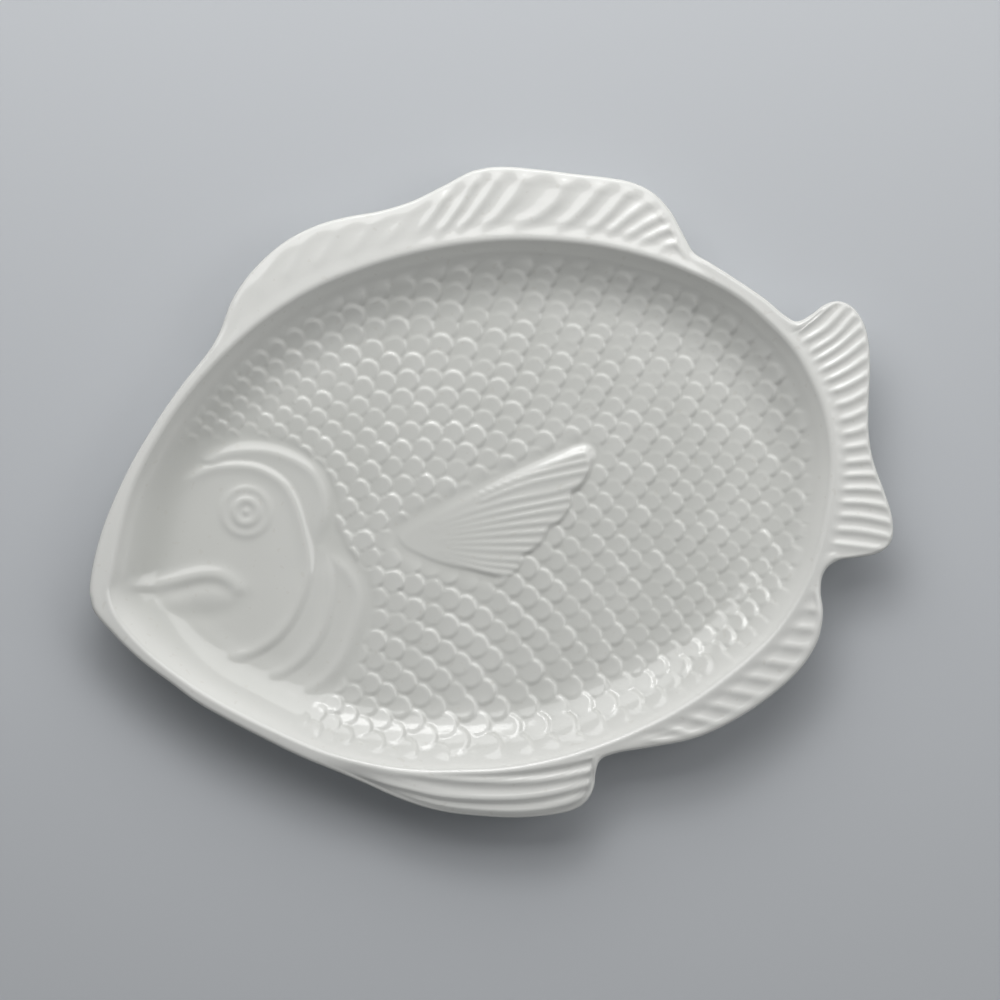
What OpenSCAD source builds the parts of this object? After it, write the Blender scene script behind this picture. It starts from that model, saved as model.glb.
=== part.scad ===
// Fish shaped serving platter, cast in one piece of glazed porcelain.
// It lies on its foot ring at Z = 0, with the snout towards -X, the tail towards +X
// and the back fin towards +Y. The origin is under the middle of its outline.
// All lengths are in millimetres.

/* [Body] */
// Length from the snout to the edge of the tail fin
platter_l = 380; // [330:1:430]
// Width from the edge of the back fin to the edge of the belly fin
platter_w = 303; // [263:1:343]
// Height of the rim over the table
platter_h = 28; // [25:0.5:36]
// Thickness of the shell in its floor and walls
wall_t = 4.8; // [4:0.1:6]
// Thickness of the rim and the fins at their rounded edge
edge_t = 4.4; // [3.6:0.1:5.6]

/* [Rim] */
// Width of the rim in front of the well, at the snout
snout_rim_w = 9.5; // [8:0.5:11]
// Width of the tail fin behind the well
tail_fin_w = 27.4; // [24:0.2:31]
// Width of the back fin at the widest place of the well
back_fin_w = 33.3; // [29:0.1:38]
// Width of the belly fin at the widest place of the well
belly_fin_w = 26; // [22:0.5:30]
// Height of the rim's crest over the inner edge of the rim
crown_h = 1.5; // [0.8:0.1:2.5]
// Depth of the hollow between the inner edge and the lip of a fin
fin_dish = 1.6; // [0.8:0.1:2.4]
// Width of the raised lip along the edge of a fin
lip_w = 5.5; // [4:0.1:7]
// Width of the smooth band between the inner edge and the rays of a fin
shoulder_w = 5; // [3.5:0.1:6.5]

/* [Well] */
// Width of the curve that leads from the rim's inner edge down to the floor
cove_w = 34; // [28:1:40]

/* [Foot] */
// Height of the hollow under the floor, inside the foot ring
foot_h = 3.5; // [2.5:0.1:5]
// Width of the foot ring where it stands
foot_w = 6; // [4:0.5:8]
// Distance from the rim's inner edge inwards to the foot ring
foot_inset = 22; // [18:1:27]
// Height of the unglazed band ground flat at the bottom of the foot ring
bare_h = 0.6; // [0.4:0.1:1.2]

/* [Fin rays] */
// Height of a ray over the hollow of its fin
ray_h = 1; // [0.6:0.1:1.4]
// Radius of a ray's rounded back
ray_r = 1.5; // [1.1:0.1:2]
// Number of rays in the low front part of the back fin
front_ray_count = 5; // [3:1:7]
// Number of rays in the high part of the back fin
back_ray_count = 11; // [7:1:13]
// Number of rays in the tail fin
tail_ray_count = 14; // [8:1:16]
// Number of rays in the vent fin
vent_ray_count = 10; // [6:1:12]
// Number of long flutes in the belly fin
belly_flute_count = 3; // [2:1:4]

/* [Scales] */
// Number of rows of scales across the widest place of the well
scale_row_count = 17; // [14:1:18]
// Length of a scale that shows behind the one before it, as a share of its width
scale_length_share = 0.73; // [0.7:0.01:0.9]
// Height of a scale's free edge over the next scale
scale_h = 1.3; // [0.8:0.1:1.8]
// Radius of the arcs in which the scales stand, one behind the other from the gills to the tail
scale_bow_r = 160; // [130:5:220]
// Distance from the rim's inner edge down the wall to the first scales
scale_inset = 9; // [6:0.5:12]

/* [Head] */
// Height of the cheek plate's edge over the floor
cheek_h = 3.2; // [2.6:0.1:4]
// Height of the gill cover's edge over the floor
gill_h = 2.4; // [1.8:0.1:2.6]
// Height of the collar's edge over the floor, behind the gill cover
collar_h = 1.7; // [1.2:0.1:1.8]
// Radius of the rounded edge of the plates of the head
plate_r = 1.4; // [1:0.1:2]
// Radius of the outer ring of the eye
eye_r = 11.9; // [9:0.1:13]
// Radius of the inner ring of the eye
iris_r = 6.1; // [4:0.1:7]
// Radius of the pupil
pupil_r = 3; // [2:0.1:3.6]
// Thickness of the two rings of the eye
eye_ring_t = 1.8; // [1.2:0.1:2.2]
// Radius of the upper lip at the snout
lip_r = 2; // [1.4:0.1:2.6]

/* [Side fin] */
// Height of the side fin over the floor
side_fin_h = 3.2; // [2.4:0.1:4]
// Radius of the side fin's rounded edge
side_fin_r = 1.6; // [1.2:0.1:2]
// Radius of a ray on the side fin
side_ray_r = 0.9; // [0.6:0.1:1.2]
// Number of rays on each lobe of the side fin
side_ray_count = 3; // [2:1:4]

/* [Hidden] */

// The outline, clockwise from the snout, as shares of platter_l and platter_w from the origin
brow_shares = [
    [-0.500, -0.024], [-0.474, 0.057], [-0.426, 0.147], [-0.378, 0.215], [-0.339, 0.262], [-0.296, 0.308]
];
front_hump_shares = [
    [-0.280, 0.332], [-0.257, 0.377], [-0.227, 0.413], [-0.182, 0.447], [-0.139, 0.463], [-0.099, 0.467],
    [-0.059, 0.466], [-0.018, 0.471]
];
back_fin_shares = [
    [0.025, 0.485], [0.066, 0.499], [0.100, 0.496], [0.143, 0.481], [0.184, 0.464], [0.226, 0.447],
    [0.253, 0.433], [0.276, 0.411], [0.293, 0.377], [0.303, 0.337], [0.311, 0.308]
];
back_rim_shares = [[0.328, 0.288], [0.353, 0.258], [0.386, 0.216], [0.405, 0.186]];
tail_fin_shares = [
    [0.418, 0.173], [0.437, 0.179], [0.456, 0.190], [0.473, 0.191], [0.488, 0.179], [0.498, 0.153],
    [0.500, 0.121], [0.496, 0.083], [0.484, 0.020], [0.478, -0.020], [0.477, -0.060], [0.483, -0.112],
    [0.486, -0.146], [0.485, -0.167], [0.480, -0.187], [0.470, -0.198], [0.456, -0.203], [0.429, -0.202],
    [0.413, -0.201]
];
vent_fin_shares = [
    [0.398, -0.207], [0.388, -0.220], [0.382, -0.244], [0.380, -0.275], [0.368, -0.314], [0.347, -0.345],
    [0.326, -0.365], [0.301, -0.383], [0.268, -0.402], [0.233, -0.417], [0.205, -0.425], [0.182, -0.428],
    [0.137, -0.427], [0.094, -0.426]
];
belly_fin_shares = [
    [0.076, -0.431], [0.067, -0.449], [0.062, -0.469], [0.054, -0.484], [0.043, -0.494], [0.029, -0.499],
    [0.010, -0.500], [-0.036, -0.494], [-0.079, -0.481], [-0.122, -0.464], [-0.153, -0.446],
    [-0.182, -0.424], [-0.211, -0.398], [-0.241, -0.372]
];
chin_shares = [
    [-0.283, -0.337], [-0.324, -0.298], [-0.396, -0.223], [-0.422, -0.187], [-0.455, -0.141],
    [-0.483, -0.090], [-0.499, -0.052]
];
outline_shares = concat(
    brow_shares, front_hump_shares, back_fin_shares, back_rim_shares, tail_fin_shares, vent_fin_shares,
    belly_fin_shares, chin_shares
);

// The rim's inner edge, clockwise from the snout, as shares of well_l and well_w from well_centre
well_shares = [
    [-0.490, 0.014], [-0.442, 0.160], [-0.382, 0.266], [-0.319, 0.345], [-0.242, 0.416], [-0.164, 0.463],
    [-0.099, 0.485], [-0.026, 0.498], [0.036, 0.500], [0.089, 0.496], [0.146, 0.484], [0.231, 0.451],
    [0.296, 0.412], [0.351, 0.368], [0.412, 0.301], [0.448, 0.240], [0.475, 0.178], [0.489, 0.123],
    [0.498, 0.064], [0.500, 0.008], [0.495, -0.053], [0.483, -0.112], [0.466, -0.172], [0.443, -0.236],
    [0.414, -0.291], [0.376, -0.343], [0.336, -0.381], [0.297, -0.410], [0.265, -0.431], [0.211, -0.459],
    [0.158, -0.478], [0.125, -0.487], [0.074, -0.497], [0.023, -0.500], [-0.025, -0.497], [-0.073, -0.487],
    [-0.133, -0.470], [-0.186, -0.446], [-0.249, -0.404], [-0.328, -0.327], [-0.399, -0.245],
    [-0.451, -0.167], [-0.478, -0.113], [-0.497, -0.057], [-0.499, -0.020]
];

// The raised arcs of the head, as shares of well_l and well_w from well_centre
cheek_shares = [
    [-0.384, 0.169], [-0.352, 0.184], [-0.320, 0.187], [-0.287, 0.179], [-0.257, 0.161], [-0.238, 0.132],
    [-0.225, 0.095], [-0.219, 0.050], [-0.219, 0.010], [-0.225, -0.060], [-0.238, -0.114],
    [-0.254, -0.147], [-0.279, -0.177], [-0.311, -0.196], [-0.343, -0.199], [-0.373, -0.190]
];
gill_top_shares = [
    [-0.289, 0.203], [-0.257, 0.198], [-0.233, 0.183], [-0.210, 0.159], [-0.196, 0.132], [-0.189, 0.097],
    [-0.190, 0.060], [-0.199, 0.023], [-0.209, 0.005]
];
gill_low_shares = [
    [-0.209, 0.005], [-0.200, -0.030], [-0.198, -0.080], [-0.205, -0.123], [-0.219, -0.164],
    [-0.241, -0.203], [-0.268, -0.229], [-0.297, -0.245]
];
collar_shares = [
    [-0.191, -0.030], [-0.174, -0.054], [-0.164, -0.086], [-0.163, -0.123], [-0.173, -0.162],
    [-0.188, -0.205], [-0.210, -0.247], [-0.234, -0.275], [-0.260, -0.291]
];
upper_lip_shares = [
    [-0.482, -0.006], [-0.461, -0.013], [-0.435, -0.017], [-0.407, -0.014], [-0.380, -0.013],
    [-0.355, -0.021], [-0.334, -0.040], [-0.320, -0.066]
];
lower_lip_shares = [
    [-0.470, -0.038], [-0.440, -0.042], [-0.410, -0.053], [-0.380, -0.074], [-0.355, -0.096]
];
eye_share = [-0.298, 0.079];
cheek_root_shares = [[-0.422, 0.090], [-0.440, 0.010], [-0.422, -0.110]];
gill_root_shares = [[-0.330, 0.040]];
collar_root_shares = [[-0.300, -0.080]];

// The front edge of the scales, from the wall behind the brow down to the chin
scale_front_shares = [
    [-0.225, 0.600], [-0.225, 0.430], [-0.265, 0.300], [-0.262, 0.195], [-0.215, 0.120], [-0.205, 0.020],
    [-0.185, -0.060], [-0.190, -0.200], [-0.230, -0.290], [-0.270, -0.380], [-0.270, -0.600]
];

// The side fin's root and the rounded ends of its four lobes
side_root_share = [-0.104, -0.026];
side_lobe_shares = [
    [[0.092, 0.053], [0.164, 0.067], [0.174, 0.058], [0.168, 0.023], [0.148, -0.008]],
    [[0.140, -0.008], [0.134, -0.037], [0.117, -0.056], [0.101, -0.062]],
    [[0.098, -0.064], [0.092, -0.088], [0.076, -0.101], [0.060, -0.104]],
    [[0.058, -0.106], [0.050, -0.123], [0.038, -0.136], [0.022, -0.134]]
];

// Sizes of the well that follow from the rim around it
well_l = platter_l - snout_rim_w - tail_fin_w;
well_w = platter_w - back_fin_w - belly_fin_w;
well_centre = [(snout_rim_w - tail_fin_w) / 2, (belly_fin_w - back_fin_w) / 2];
floor_z = foot_h + wall_t;
well_depth = platter_h - crown_h - floor_z;
// Height inside the floor's thickness at which the raised details begin
sunk_z = floor_z - wall_t / 4;
// Power that makes the wall steep under the rim and gentle at the floor
cove_power = 2.2;

// Ends of the middle line that the rim's width is measured from, as shares of well_l
spine_head_x = well_centre.x - 0.22 * well_l;
spine_tail_x = well_centre.x + 0.24 * well_l;
spine_y = well_centre.y;
spine_l = spine_tail_x - spine_head_x;

// Steps from one listed place of the well line to the next, and the longest step along the outline
well_steps = 5;
outline_step = 0.045 * platter_l;

// Widths of the rim at which a fin starts to be hollow, and is hollow to its full depth
plain_rim_w = 2 * lip_w;
full_fin_w = 2 * (lip_w + shoulder_w);

porcelain = [0.93, 0.93, 0.91];
bare_porcelain = [0.87, 0.84, 0.79];

// Smooth curves through listed points
function between(p, q, t, tp, tq) = p + (q - p) * (t - tp) / (tq - tp);
function knot_gap(p, q) = sqrt(norm(q - p));
function smooth_point(a, b, c, d, u) =
    let (
        tb = knot_gap(a, b),
        tc = tb + knot_gap(b, c),
        td = tc + knot_gap(c, d),
        t = tb + u * (tc - tb),
        ab = between(a, b, t, 0, tb),
        bc = between(b, c, t, tb, tc),
        cd = between(c, d, t, tc, td)
    )
    between(between(ab, bc, t, 0, tc), between(bc, cd, t, tb, td), t, tb, tc);
// Rows of [place, point] along a closed curve: the place counts the listed points
function smooth_rows(points, most_steps, longest) =
    let (n = len(points))
    [
        for (i = [0:n - 1])
            let (
                a = points[(i + n - 1) % n],
                b = points[i],
                c = points[(i + 1) % n],
                d = points[(i + 2) % n],
                steps = min(most_steps, ceil(norm(c - b) / longest))
            )
            for (j = [0:steps - 1]) [i + j / steps, smooth_point(a, b, c, d, j / steps)]
    ];

function on_platter(share) = [share.x * platter_l, share.y * platter_w];
function in_well(share) = well_centre + [share.x * well_l, share.y * well_w];
function unit(v) = v / norm(v);
function limited(x, low, high) = min(max(x, low), high);

outline_rows = smooth_rows([for (share = outline_shares) on_platter(share)], 2, outline_step);
outline = [for (row = outline_rows) row[1]];
sample_count = len(outline);
well_rows = smooth_rows([for (share = well_shares) in_well(share)], well_steps, outline_step / well_steps);
well_line = [for (row = well_rows) row[1]];

// Angle of a direction, clockwise from the snout
function clockwise(v) = (540 - atan2(v.y, v.x)) % 360;
// A table of [way, reach] for the loop, with a copy before and after it, so that lookup finds every way
function round_table(rows, whole) =
    let (
        n = len(rows),
        even = [
            for (i = [0:n - 1])
                [
                    rows[i][0] + (i < n / 4 && rows[i][0] > whole / 2 ? -whole : 0)
                        + (i > n * 3 / 4 && rows[i][0] < whole / 2 ? whole : 0),
                    rows[i][1]
                ]
        ]
    )
    [for (turn = [-1:1], row = even) [row[0] + turn * whole, row[1]]];

// Way round the middle line: the angle at its ends, and the distance along its two sides
function spine_point(p) = [limited(p.x, spine_head_x, spine_tail_x), spine_y];
function spine_way(p) =
    let (
        s = spine_point(p),
        angle = clockwise(p - s),
        run = angle < 180 ? s.x - spine_head_x : 2 * spine_l - (s.x - spine_head_x)
    )
    angle + 180 * run / spine_l;
spine_table = round_table([for (p = well_line) [spine_way(p), norm(p - spine_point(p))]], 720);
function well_point(p) =
    let (s = spine_point(p))
    s + unit(p - s) * lookup(spine_way(p), spine_table);
rim_inner = [for (p = outline) well_point(p)];
inner_rows = [for (i = [0:sample_count - 1]) [outline_rows[i][0], rim_inner[i]]];
function place_in(rows, u) = [
    lookup(u, [for (row = rows) [row[0], row[1].x]]),
    lookup(u, [for (row = rows) [row[0], row[1].y]])
];

// Height of the dished surface: d is the distance inside the rim's inner edge, towards the well's centre
centre_table = round_table([for (p = well_line) [clockwise(p - well_centre), norm(p - well_centre)]], 360);
function inside_by(p) = max(lookup(clockwise(p - well_centre), centre_table) - norm(p - well_centre), 0);
function cove_share(d) = limited(1 - d / cove_w, 0, 1);
function well_z(d) = floor_z + well_depth * pow(cove_share(d), cove_power);
function well_slope(d) = cove_power * well_depth / cove_w * pow(cove_share(d), cove_power - 1);
function surface_z(p) = well_z(inside_by(p));

// Height of the rim's top: e is the distance outside its inner edge, w the width of the rim there
function hollow(w) = fin_dish * limited((w - plain_rim_w) / (full_fin_w - plain_rim_w), 0, 1);
function rim_width(i) = norm(outline[i] - rim_inner[i]);

// Points of the shell at sample i: d inside the rim's inner edge, or e outside it
function inner_at(i, d, z) =
    let (p = rim_inner[i] + unit(well_centre - rim_inner[i]) * d)
    [p.x, p.y, z];
function outer_at(i, e, z) =
    let (p = rim_inner[i] + unit(outline[i] - rim_inner[i]) * e)
    [p.x, p.y, z];
function floor_at(i, share, z) =
    let (p = well_centre + (rim_inner[i] - well_centre) * share)
    [p.x, p.y, z];
// The underside follows the well's surface at the wall's thickness
function under_at(i, d) =
    let (
        slope = well_slope(d),
        lean = sqrt(1 + slope * slope),
        out = wall_t * slope / lean - d,
        z = well_z(d) - wall_t / lean
    )
    out > 0 ? outer_at(i, min(out, 0.45 * rim_width(i)), z) : inner_at(i, -out, z);

// One ring of points for each line that runs round the shell, from the middle of the floor over the rim to
// the underside. The shares are of the size that each line follows.
cove_ring_shares = [1, 0.7, 0.46, 0.27, 0.12, 0];
function top_rings() = concat(
    [[for (i = [0:sample_count - 1]) floor_at(i, 0.4, floor_z)]],
    [
        for (share = cove_ring_shares)
            [for (i = [0:sample_count - 1]) inner_at(i, share * cove_w, well_z(share * cove_w))]
    ]
);
function rim_rings() = [
    [
        for (i = [0:sample_count - 1])
            outer_at(i, min(shoulder_w / 2, 0.2 * rim_width(i)), platter_h - crown_h / 4)
    ],
    [
        for (i = [0:sample_count - 1])
            outer_at(i, min(1.6 * shoulder_w, 0.4 * rim_width(i)), platter_h - hollow(rim_width(i)))
    ],
    [
        for (i = [0:sample_count - 1])
            let (w = rim_width(i))
            outer_at(i, w - min(lip_w, 0.42 * w), platter_h - 0.8 * hollow(w))
    ],
    [
        for (i = [0:sample_count - 1])
            outer_at(i, rim_width(i) - min(0.55 * lip_w, 0.3 * rim_width(i)), platter_h - edge_t / 50)
    ],
    [for (i = [0:sample_count - 1]) outer_at(i, rim_width(i) - 0.22 * edge_t, platter_h - 0.16 * edge_t)],
    [for (i = [0:sample_count - 1]) outer_at(i, rim_width(i), platter_h - 0.5 * edge_t)],
    [for (i = [0:sample_count - 1]) outer_at(i, rim_width(i) - 0.7 * edge_t, platter_h - edge_t)]
];
// The foot ring's sides lean by foot_lean, and its hollow lies foot_h over the table
foot_lean = foot_h / 4;
foot_end = foot_inset + foot_w;
function under_rings() = concat(
    [for (share = [0, 0.3]) [for (i = [0:sample_count - 1]) under_at(i, share * cove_w)]],
    [
        [for (i = [0:sample_count - 1]) inner_at(i, foot_inset - foot_lean, foot_h)],
        [for (i = [0:sample_count - 1]) inner_at(i, foot_inset, bare_h)],
        [for (i = [0:sample_count - 1]) inner_at(i, foot_end, bare_h)],
        [for (i = [0:sample_count - 1]) inner_at(i, foot_end + foot_lean, foot_h)]
    ]
);

// The smooth shell: rings joined by triangles, closed by a fan in the middle of its floor and its underside
module shell() {
    rings = concat(top_rings(), rim_rings(), under_rings());
    ring_count = len(rings);
    top_point = ring_count * sample_count;
    low_point = top_point + 1;
    points = concat(
        [for (ring = rings, p = ring) p],
        [[well_centre.x, well_centre.y, floor_z], [well_centre.x, well_centre.y, foot_h]]
    );
    last = (ring_count - 1) * sample_count;
    faces = concat(
        [for (i = [0:sample_count - 1]) [top_point, i, (i + 1) % sample_count]],
        [
            for (r = [0:ring_count - 2], i = [0:sample_count - 1])
                let (
                    a = r * sample_count + i,
                    b = r * sample_count + (i + 1) % sample_count,
                    c = a + sample_count,
                    d = b + sample_count
                )
                each [[a, c, b], [b, c, d]]
        ],
        [for (i = [0:sample_count - 1]) [low_point, last + (i + 1) % sample_count, last + i]]
    );
    polyhedron(points = points, faces = faces, convexity = 6);
}

// A round knob from foot_z up to top_z, at a place given as a share of the well
module bead(share, r, top_z, foot_z) {
    p = in_well(share);
    translate([p.x, p.y, foot_z]) cylinder(r = r, h = max(top_z - 0.8 * r - foot_z, r / 9), $fn = 6);
    translate([p.x, p.y, top_z - 0.8 * r]) cylinder(r1 = r, r2 = 0.5 * r, h = 0.8 * r, $fn = 6);
}

// A plate of the head: its curved edge stands over the floor, its root runs into the wall or the next plate
module head_plate(edge_shares, root_shares, rise) {
    last = len(edge_shares) - 1;
    hull() {
        for (i = [0:last])
            bead(edge_shares[i], plate_r, floor_z + rise * (0.4 + 0.6 * sqrt(sin(180 * i / last))), sunk_z);
        for (share = root_shares) bead(share, plate_r, floor_z + 0.7 * rise, sunk_z);
    }
}

module head_plates() {
    head_plate(cheek_shares, cheek_root_shares, cheek_h);
    head_plate(gill_top_shares, gill_root_shares, gill_h);
    head_plate(gill_low_shares, gill_root_shares, gill_h);
    head_plate(collar_shares, collar_root_shares, collar_h);
}

// A knob of a lip, on the wall or on the cheek, whichever is higher
module lip_bead(share, r) {
    low_z = surface_z(in_well(share));
    bead(share, r, max(low_z, floor_z + cheek_h) + 0.4 * r, low_z - wall_t / 4);
}

// A rounded ridge along listed places, thinner towards its end
module ridge(shares) {
    count = len(shares) - 1;
    for (i = [0:count - 1]) {
        hull() {
            lip_bead(shares[i], lip_r * (1 - 0.5 * i / count));
            lip_bead(shares[i + 1], lip_r * (1 - 0.5 * (i + 1) / count));
        }
    }
}

module lips() {
    ridge(upper_lip_shares);
    ridge(lower_lip_shares);
}

module eye() {
    p = in_well(eye_share);
    ring_r = eye_ring_t / 2;
    translate([p.x, p.y, floor_z]) {
        cylinder(r = eye_r, h = cheek_h, $fn = 22);
        translate([0, 0, cheek_h]) {
            rotate_extrude($fn = 22) translate([eye_r - ring_r, 0]) circle(r = ring_r, $fn = 5);
            rotate_extrude($fn = 16) translate([iris_r, 0]) circle(r = ring_r, $fn = 5);
            scale([1, 1, 0.5]) sphere(r = pupil_r, $fn = 8);
        }
    }
}

// A low cone on the side fin, whose top stands up over the floor
module ray_bead(share, up) {
    p = in_well(share);
    translate([p.x, p.y, surface_z(p) + up - 2 * side_ray_r])
        cylinder(r1 = 1.5 * side_ray_r, r2 = side_ray_r / 4, h = 2 * side_ray_r, $fn = 4);
}

// The side fin: four lobes from one root, each with its rays
module side_fin() {
    for (lobe = side_lobe_shares) {
        hull() {
            bead(side_root_share, 1.6 * side_fin_r, floor_z + side_fin_h - side_fin_r / 2, sunk_z);
            for (share = lobe) bead(share, side_fin_r, floor_z + side_fin_h, sunk_z);
        }
        for (k = [0:side_ray_count - 1]) {
            reach = (k + 0.5) / side_ray_count * (len(lobe) - 1);
            first = floor(reach);
            tip_share = lobe[first] + (lobe[first + 1] - lobe[first]) * (reach - first);
            hull() {
                ray_bead(side_root_share + (tip_share - side_root_share) * 0.12, side_fin_h);
                ray_bead(
                    side_root_share + (tip_share - side_root_share) * 0.97,
                    side_fin_h + side_ray_r / 2
                );
            }
        }
    }
}

// Width and length of a scale in the middle of the body
scale_w = well_w / scale_row_count;
scale_l = scale_length_share * scale_w;
scale_rows = ceil(scale_row_count / 2) + 1;
// Size of the scales at x, as a share of their size in the middle: they shrink as the body narrows
function scale_size(x) =
    let (along = 2 * (x - well_centre.x) / well_l)
    pow(max(1 - along * along, 0.1), 0.3);
// Places of the scale rows along the body, each one scale's length behind the last
scale_x0 = well_centre.x - 0.25 * well_l;
scale_x1 = well_centre.x + 0.5 * well_l;
function scale_places(x) = x > scale_x1 ? [x] : concat([x], scale_places(x + scale_l * scale_size(x)));
scale_x = scale_places(scale_x0);
// Middle of the arcs of scales
scale_axis_y = -0.03 * platter_w;
// Height of the lowest place of a scale over the smooth surface
scale_base = scale_h / 4;
// A four-sided face whose diagonals differ by more than this factor is parted along the shorter one
slant_limit = 1.4;

// The scales: each row is a zigzag of free edges, high at the tip and stepped down to the row behind it
module scale_field() {
    side_count = 4 * scale_rows + 1;
    row_points = [
        for (k = [0:len(scale_x) - 1], side = [0, 1])
            [
                for (m = [0:side_count - 1])
                    let (
                        tip = (m + k) % 2 == 0,
                        size = scale_size(scale_x[k]),
                        y = spine_y + (m - 2 * scale_rows) * scale_w * size / 2,
                        bow = pow(y - scale_axis_y, 2) / (2 * scale_bow_r),
                        x = scale_x[k] - bow + (tip ? 0.3 : -0.3) * scale_l * size + side * scale_h / 3,
                        rise = scale_base + (side == 0 ? scale_h : 0) * (tip ? 1 : 0.55),
                        p = [x, y],
                        d = inside_by(p)
                    )
                    [x, y, well_z(d) + rise * limited(d / scale_inset - 0.5, 0, 1)]
            ]
    ];
    rows = len(row_points);
    top = [for (row = row_points, p = row) p];
    bottom = [for (p = top) [p.x, p.y, surface_z([p.x, p.y]) - wall_t / 2]];
    last = rows - 1;
    side = side_count - 1;
    shift = rows * side_count;
    faces = concat(
        [
            for (r = [0:rows - 2], m = [0:side_count - 2])
                let (
                    a = r * side_count + m,
                    b = a + 1,
                    c = a + side_count,
                    d = c + 1,
                    reach = norm(top[a] - top[d]) / norm(top[b] - top[c]),
                    alternate = (m + floor(r / 2)) % 2 == 0,
                    leaning = reach > slant_limit || (alternate && reach > 1 / slant_limit),
                    e = leaning ? c : d,
                    f = leaning ? b : a
                )
                each [
                    [a, b, e],
                    [f, d, c],
                    [a + shift, e + shift, b + shift],
                    [f + shift, c + shift, d + shift]
                ]
        ],
        [
            for (m = [0:side_count - 2])
                let (a = m, b = m + 1)
                each [[a, a + shift, b], [b, a + shift, b + shift]]
        ],
        [
            for (m = [0:side_count - 2])
                let (a = last * side_count + m, b = a + 1)
                each [[a, b, a + shift], [b, b + shift, a + shift]]
        ],
        [
            for (r = [0:rows - 2])
                let (a = r * side_count, b = a + side_count)
                each [[a, b, a + shift], [b, b + shift, a + shift]]
        ],
        [
            for (r = [0:rows - 2])
                let (a = r * side_count + side, b = a + side_count)
                each [[a, a + shift, b], [b, a + shift, b + shift]]
        ]
    );
    front = [for (share = scale_front_shares) in_well(share)];
    intersection() {
        polyhedron(points = concat(top, bottom), faces = faces, convexity = 10);
        linear_extrude(height = platter_h)
            polygon([for (s = well_shares) in_well(s) - unit(in_well(s) - well_centre) * scale_inset]);
        linear_extrude(height = platter_h)
            polygon(concat(front, [[platter_l, -platter_w], [platter_l, platter_w]]));
    }
}

// A place on the rim: u counts the listed places of the outline, share is that of the rim's width
function on_rim(u, share) = place_in(inner_rows, u) * (1 - share) + place_in(outline_rows, u) * share;

// A low cone on the rim, whose top stands up over the hollow of the fin
module rim_bead(u, share, r, up) {
    p = on_rim(u, share);
    translate([p.x, p.y, platter_h - fin_dish + up - 2 * ray_h])
        cylinder(r1 = 2 * r, r2 = r / 3, h = 2 * ray_h, $fn = 4);
}

// Rays of one fin, between two listed places, each from inner_share to outer_share of the rim's width
module fin_rays(first, last, count, lean, inner_share, outer_share) {
    for (k = [0:count - 1]) {
        u = first + (last - first) * k / (count - 1);
        hull() {
            rim_bead(u - lean / 2, inner_share, 0.7 * ray_r, 0.4 * ray_h);
            rim_bead(u + lean / 2, outer_share, ray_r, ray_h);
        }
    }
}

// Long flutes of the belly fin, side by side along the fin
module belly_flutes(first, last) {
    stops = 4;
    for (k = [1:belly_flute_count], j = [0:stops - 1]) {
        share = 0.2 + 0.6 * k / (belly_flute_count + 1);
        hull() {
            rim_bead(first + (last - first) * j / stops, share, 0.8 * ray_r, ray_h);
            rim_bead(first + (last - first) * (j + 1) / stops, share, 0.8 * ray_r, ray_h);
        }
    }
}

hump_first = len(brow_shares);
back_first = hump_first + len(front_hump_shares);
back_last = back_first + len(back_fin_shares);
tail_first = back_last + len(back_rim_shares);
tail_last = tail_first + len(tail_fin_shares);
vent_last = tail_last + len(vent_fin_shares);
belly_last = vent_last + len(belly_fin_shares);

module rays() {
    fin_rays(hump_first + 2, back_first - 1.8, front_ray_count, 0.8, 0.3, 0.8);
    fin_rays(back_first - 0.4, back_last - 2.8, back_ray_count, 1.2, 0.3, 0.8);
    fin_rays(tail_first + 2.7, tail_last - 3, tail_ray_count, 0.2, 0.35, 0.8);
    fin_rays(tail_last + 3.6, vent_last - 4, vent_ray_count, -1, 0.3, 0.8);
    belly_flutes(vent_last + 1.5, belly_last - 4);
}

// The glazed casting
module platter_body() {
    color(porcelain) {
        shell();
        scale_field();
        head_plates();
        lips();
        eye();
        side_fin();
        rays();
    }
}

// The unglazed band that the platter stands on
module bare_foot() {
    outer = [for (i = [0:sample_count - 1]) let (p = inner_at(i, foot_inset, 0)) [p.x, p.y]];
    inner = [for (i = [0:sample_count - 1]) let (p = inner_at(i, foot_end, 0)) [p.x, p.y]];
    color(bare_porcelain)
        linear_extrude(height = bare_h)
            difference() {
                polygon(outer);
                polygon(inner);
            }
}

platter_body();
bare_foot();
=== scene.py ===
"""Fish shaped serving platter of glazed porcelain, dressed for the studio.

The casting is one closed mesh: a well with a dished floor, a wall, a rim that spreads into fins, and an
underside with a foot ring. Geometry Nodes raise the relief on it: the scales, the plates of the head, the
side fin and the rays of the fins. Sizes are in millimetres, and MM turns them into Blender's metres. A table
whose name ends in SHARES holds shares of the platter or of its well, any other millimetres on the platter.
"""
import functools
import itertools
import logging
import math
from dataclasses import dataclass, field
from enum import Enum
from typing import Optional, Sequence, Union

import bmesh
import bpy
import numpy as np
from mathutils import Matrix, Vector
from mathutils.geometry import delaunay_2d_cdt


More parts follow.
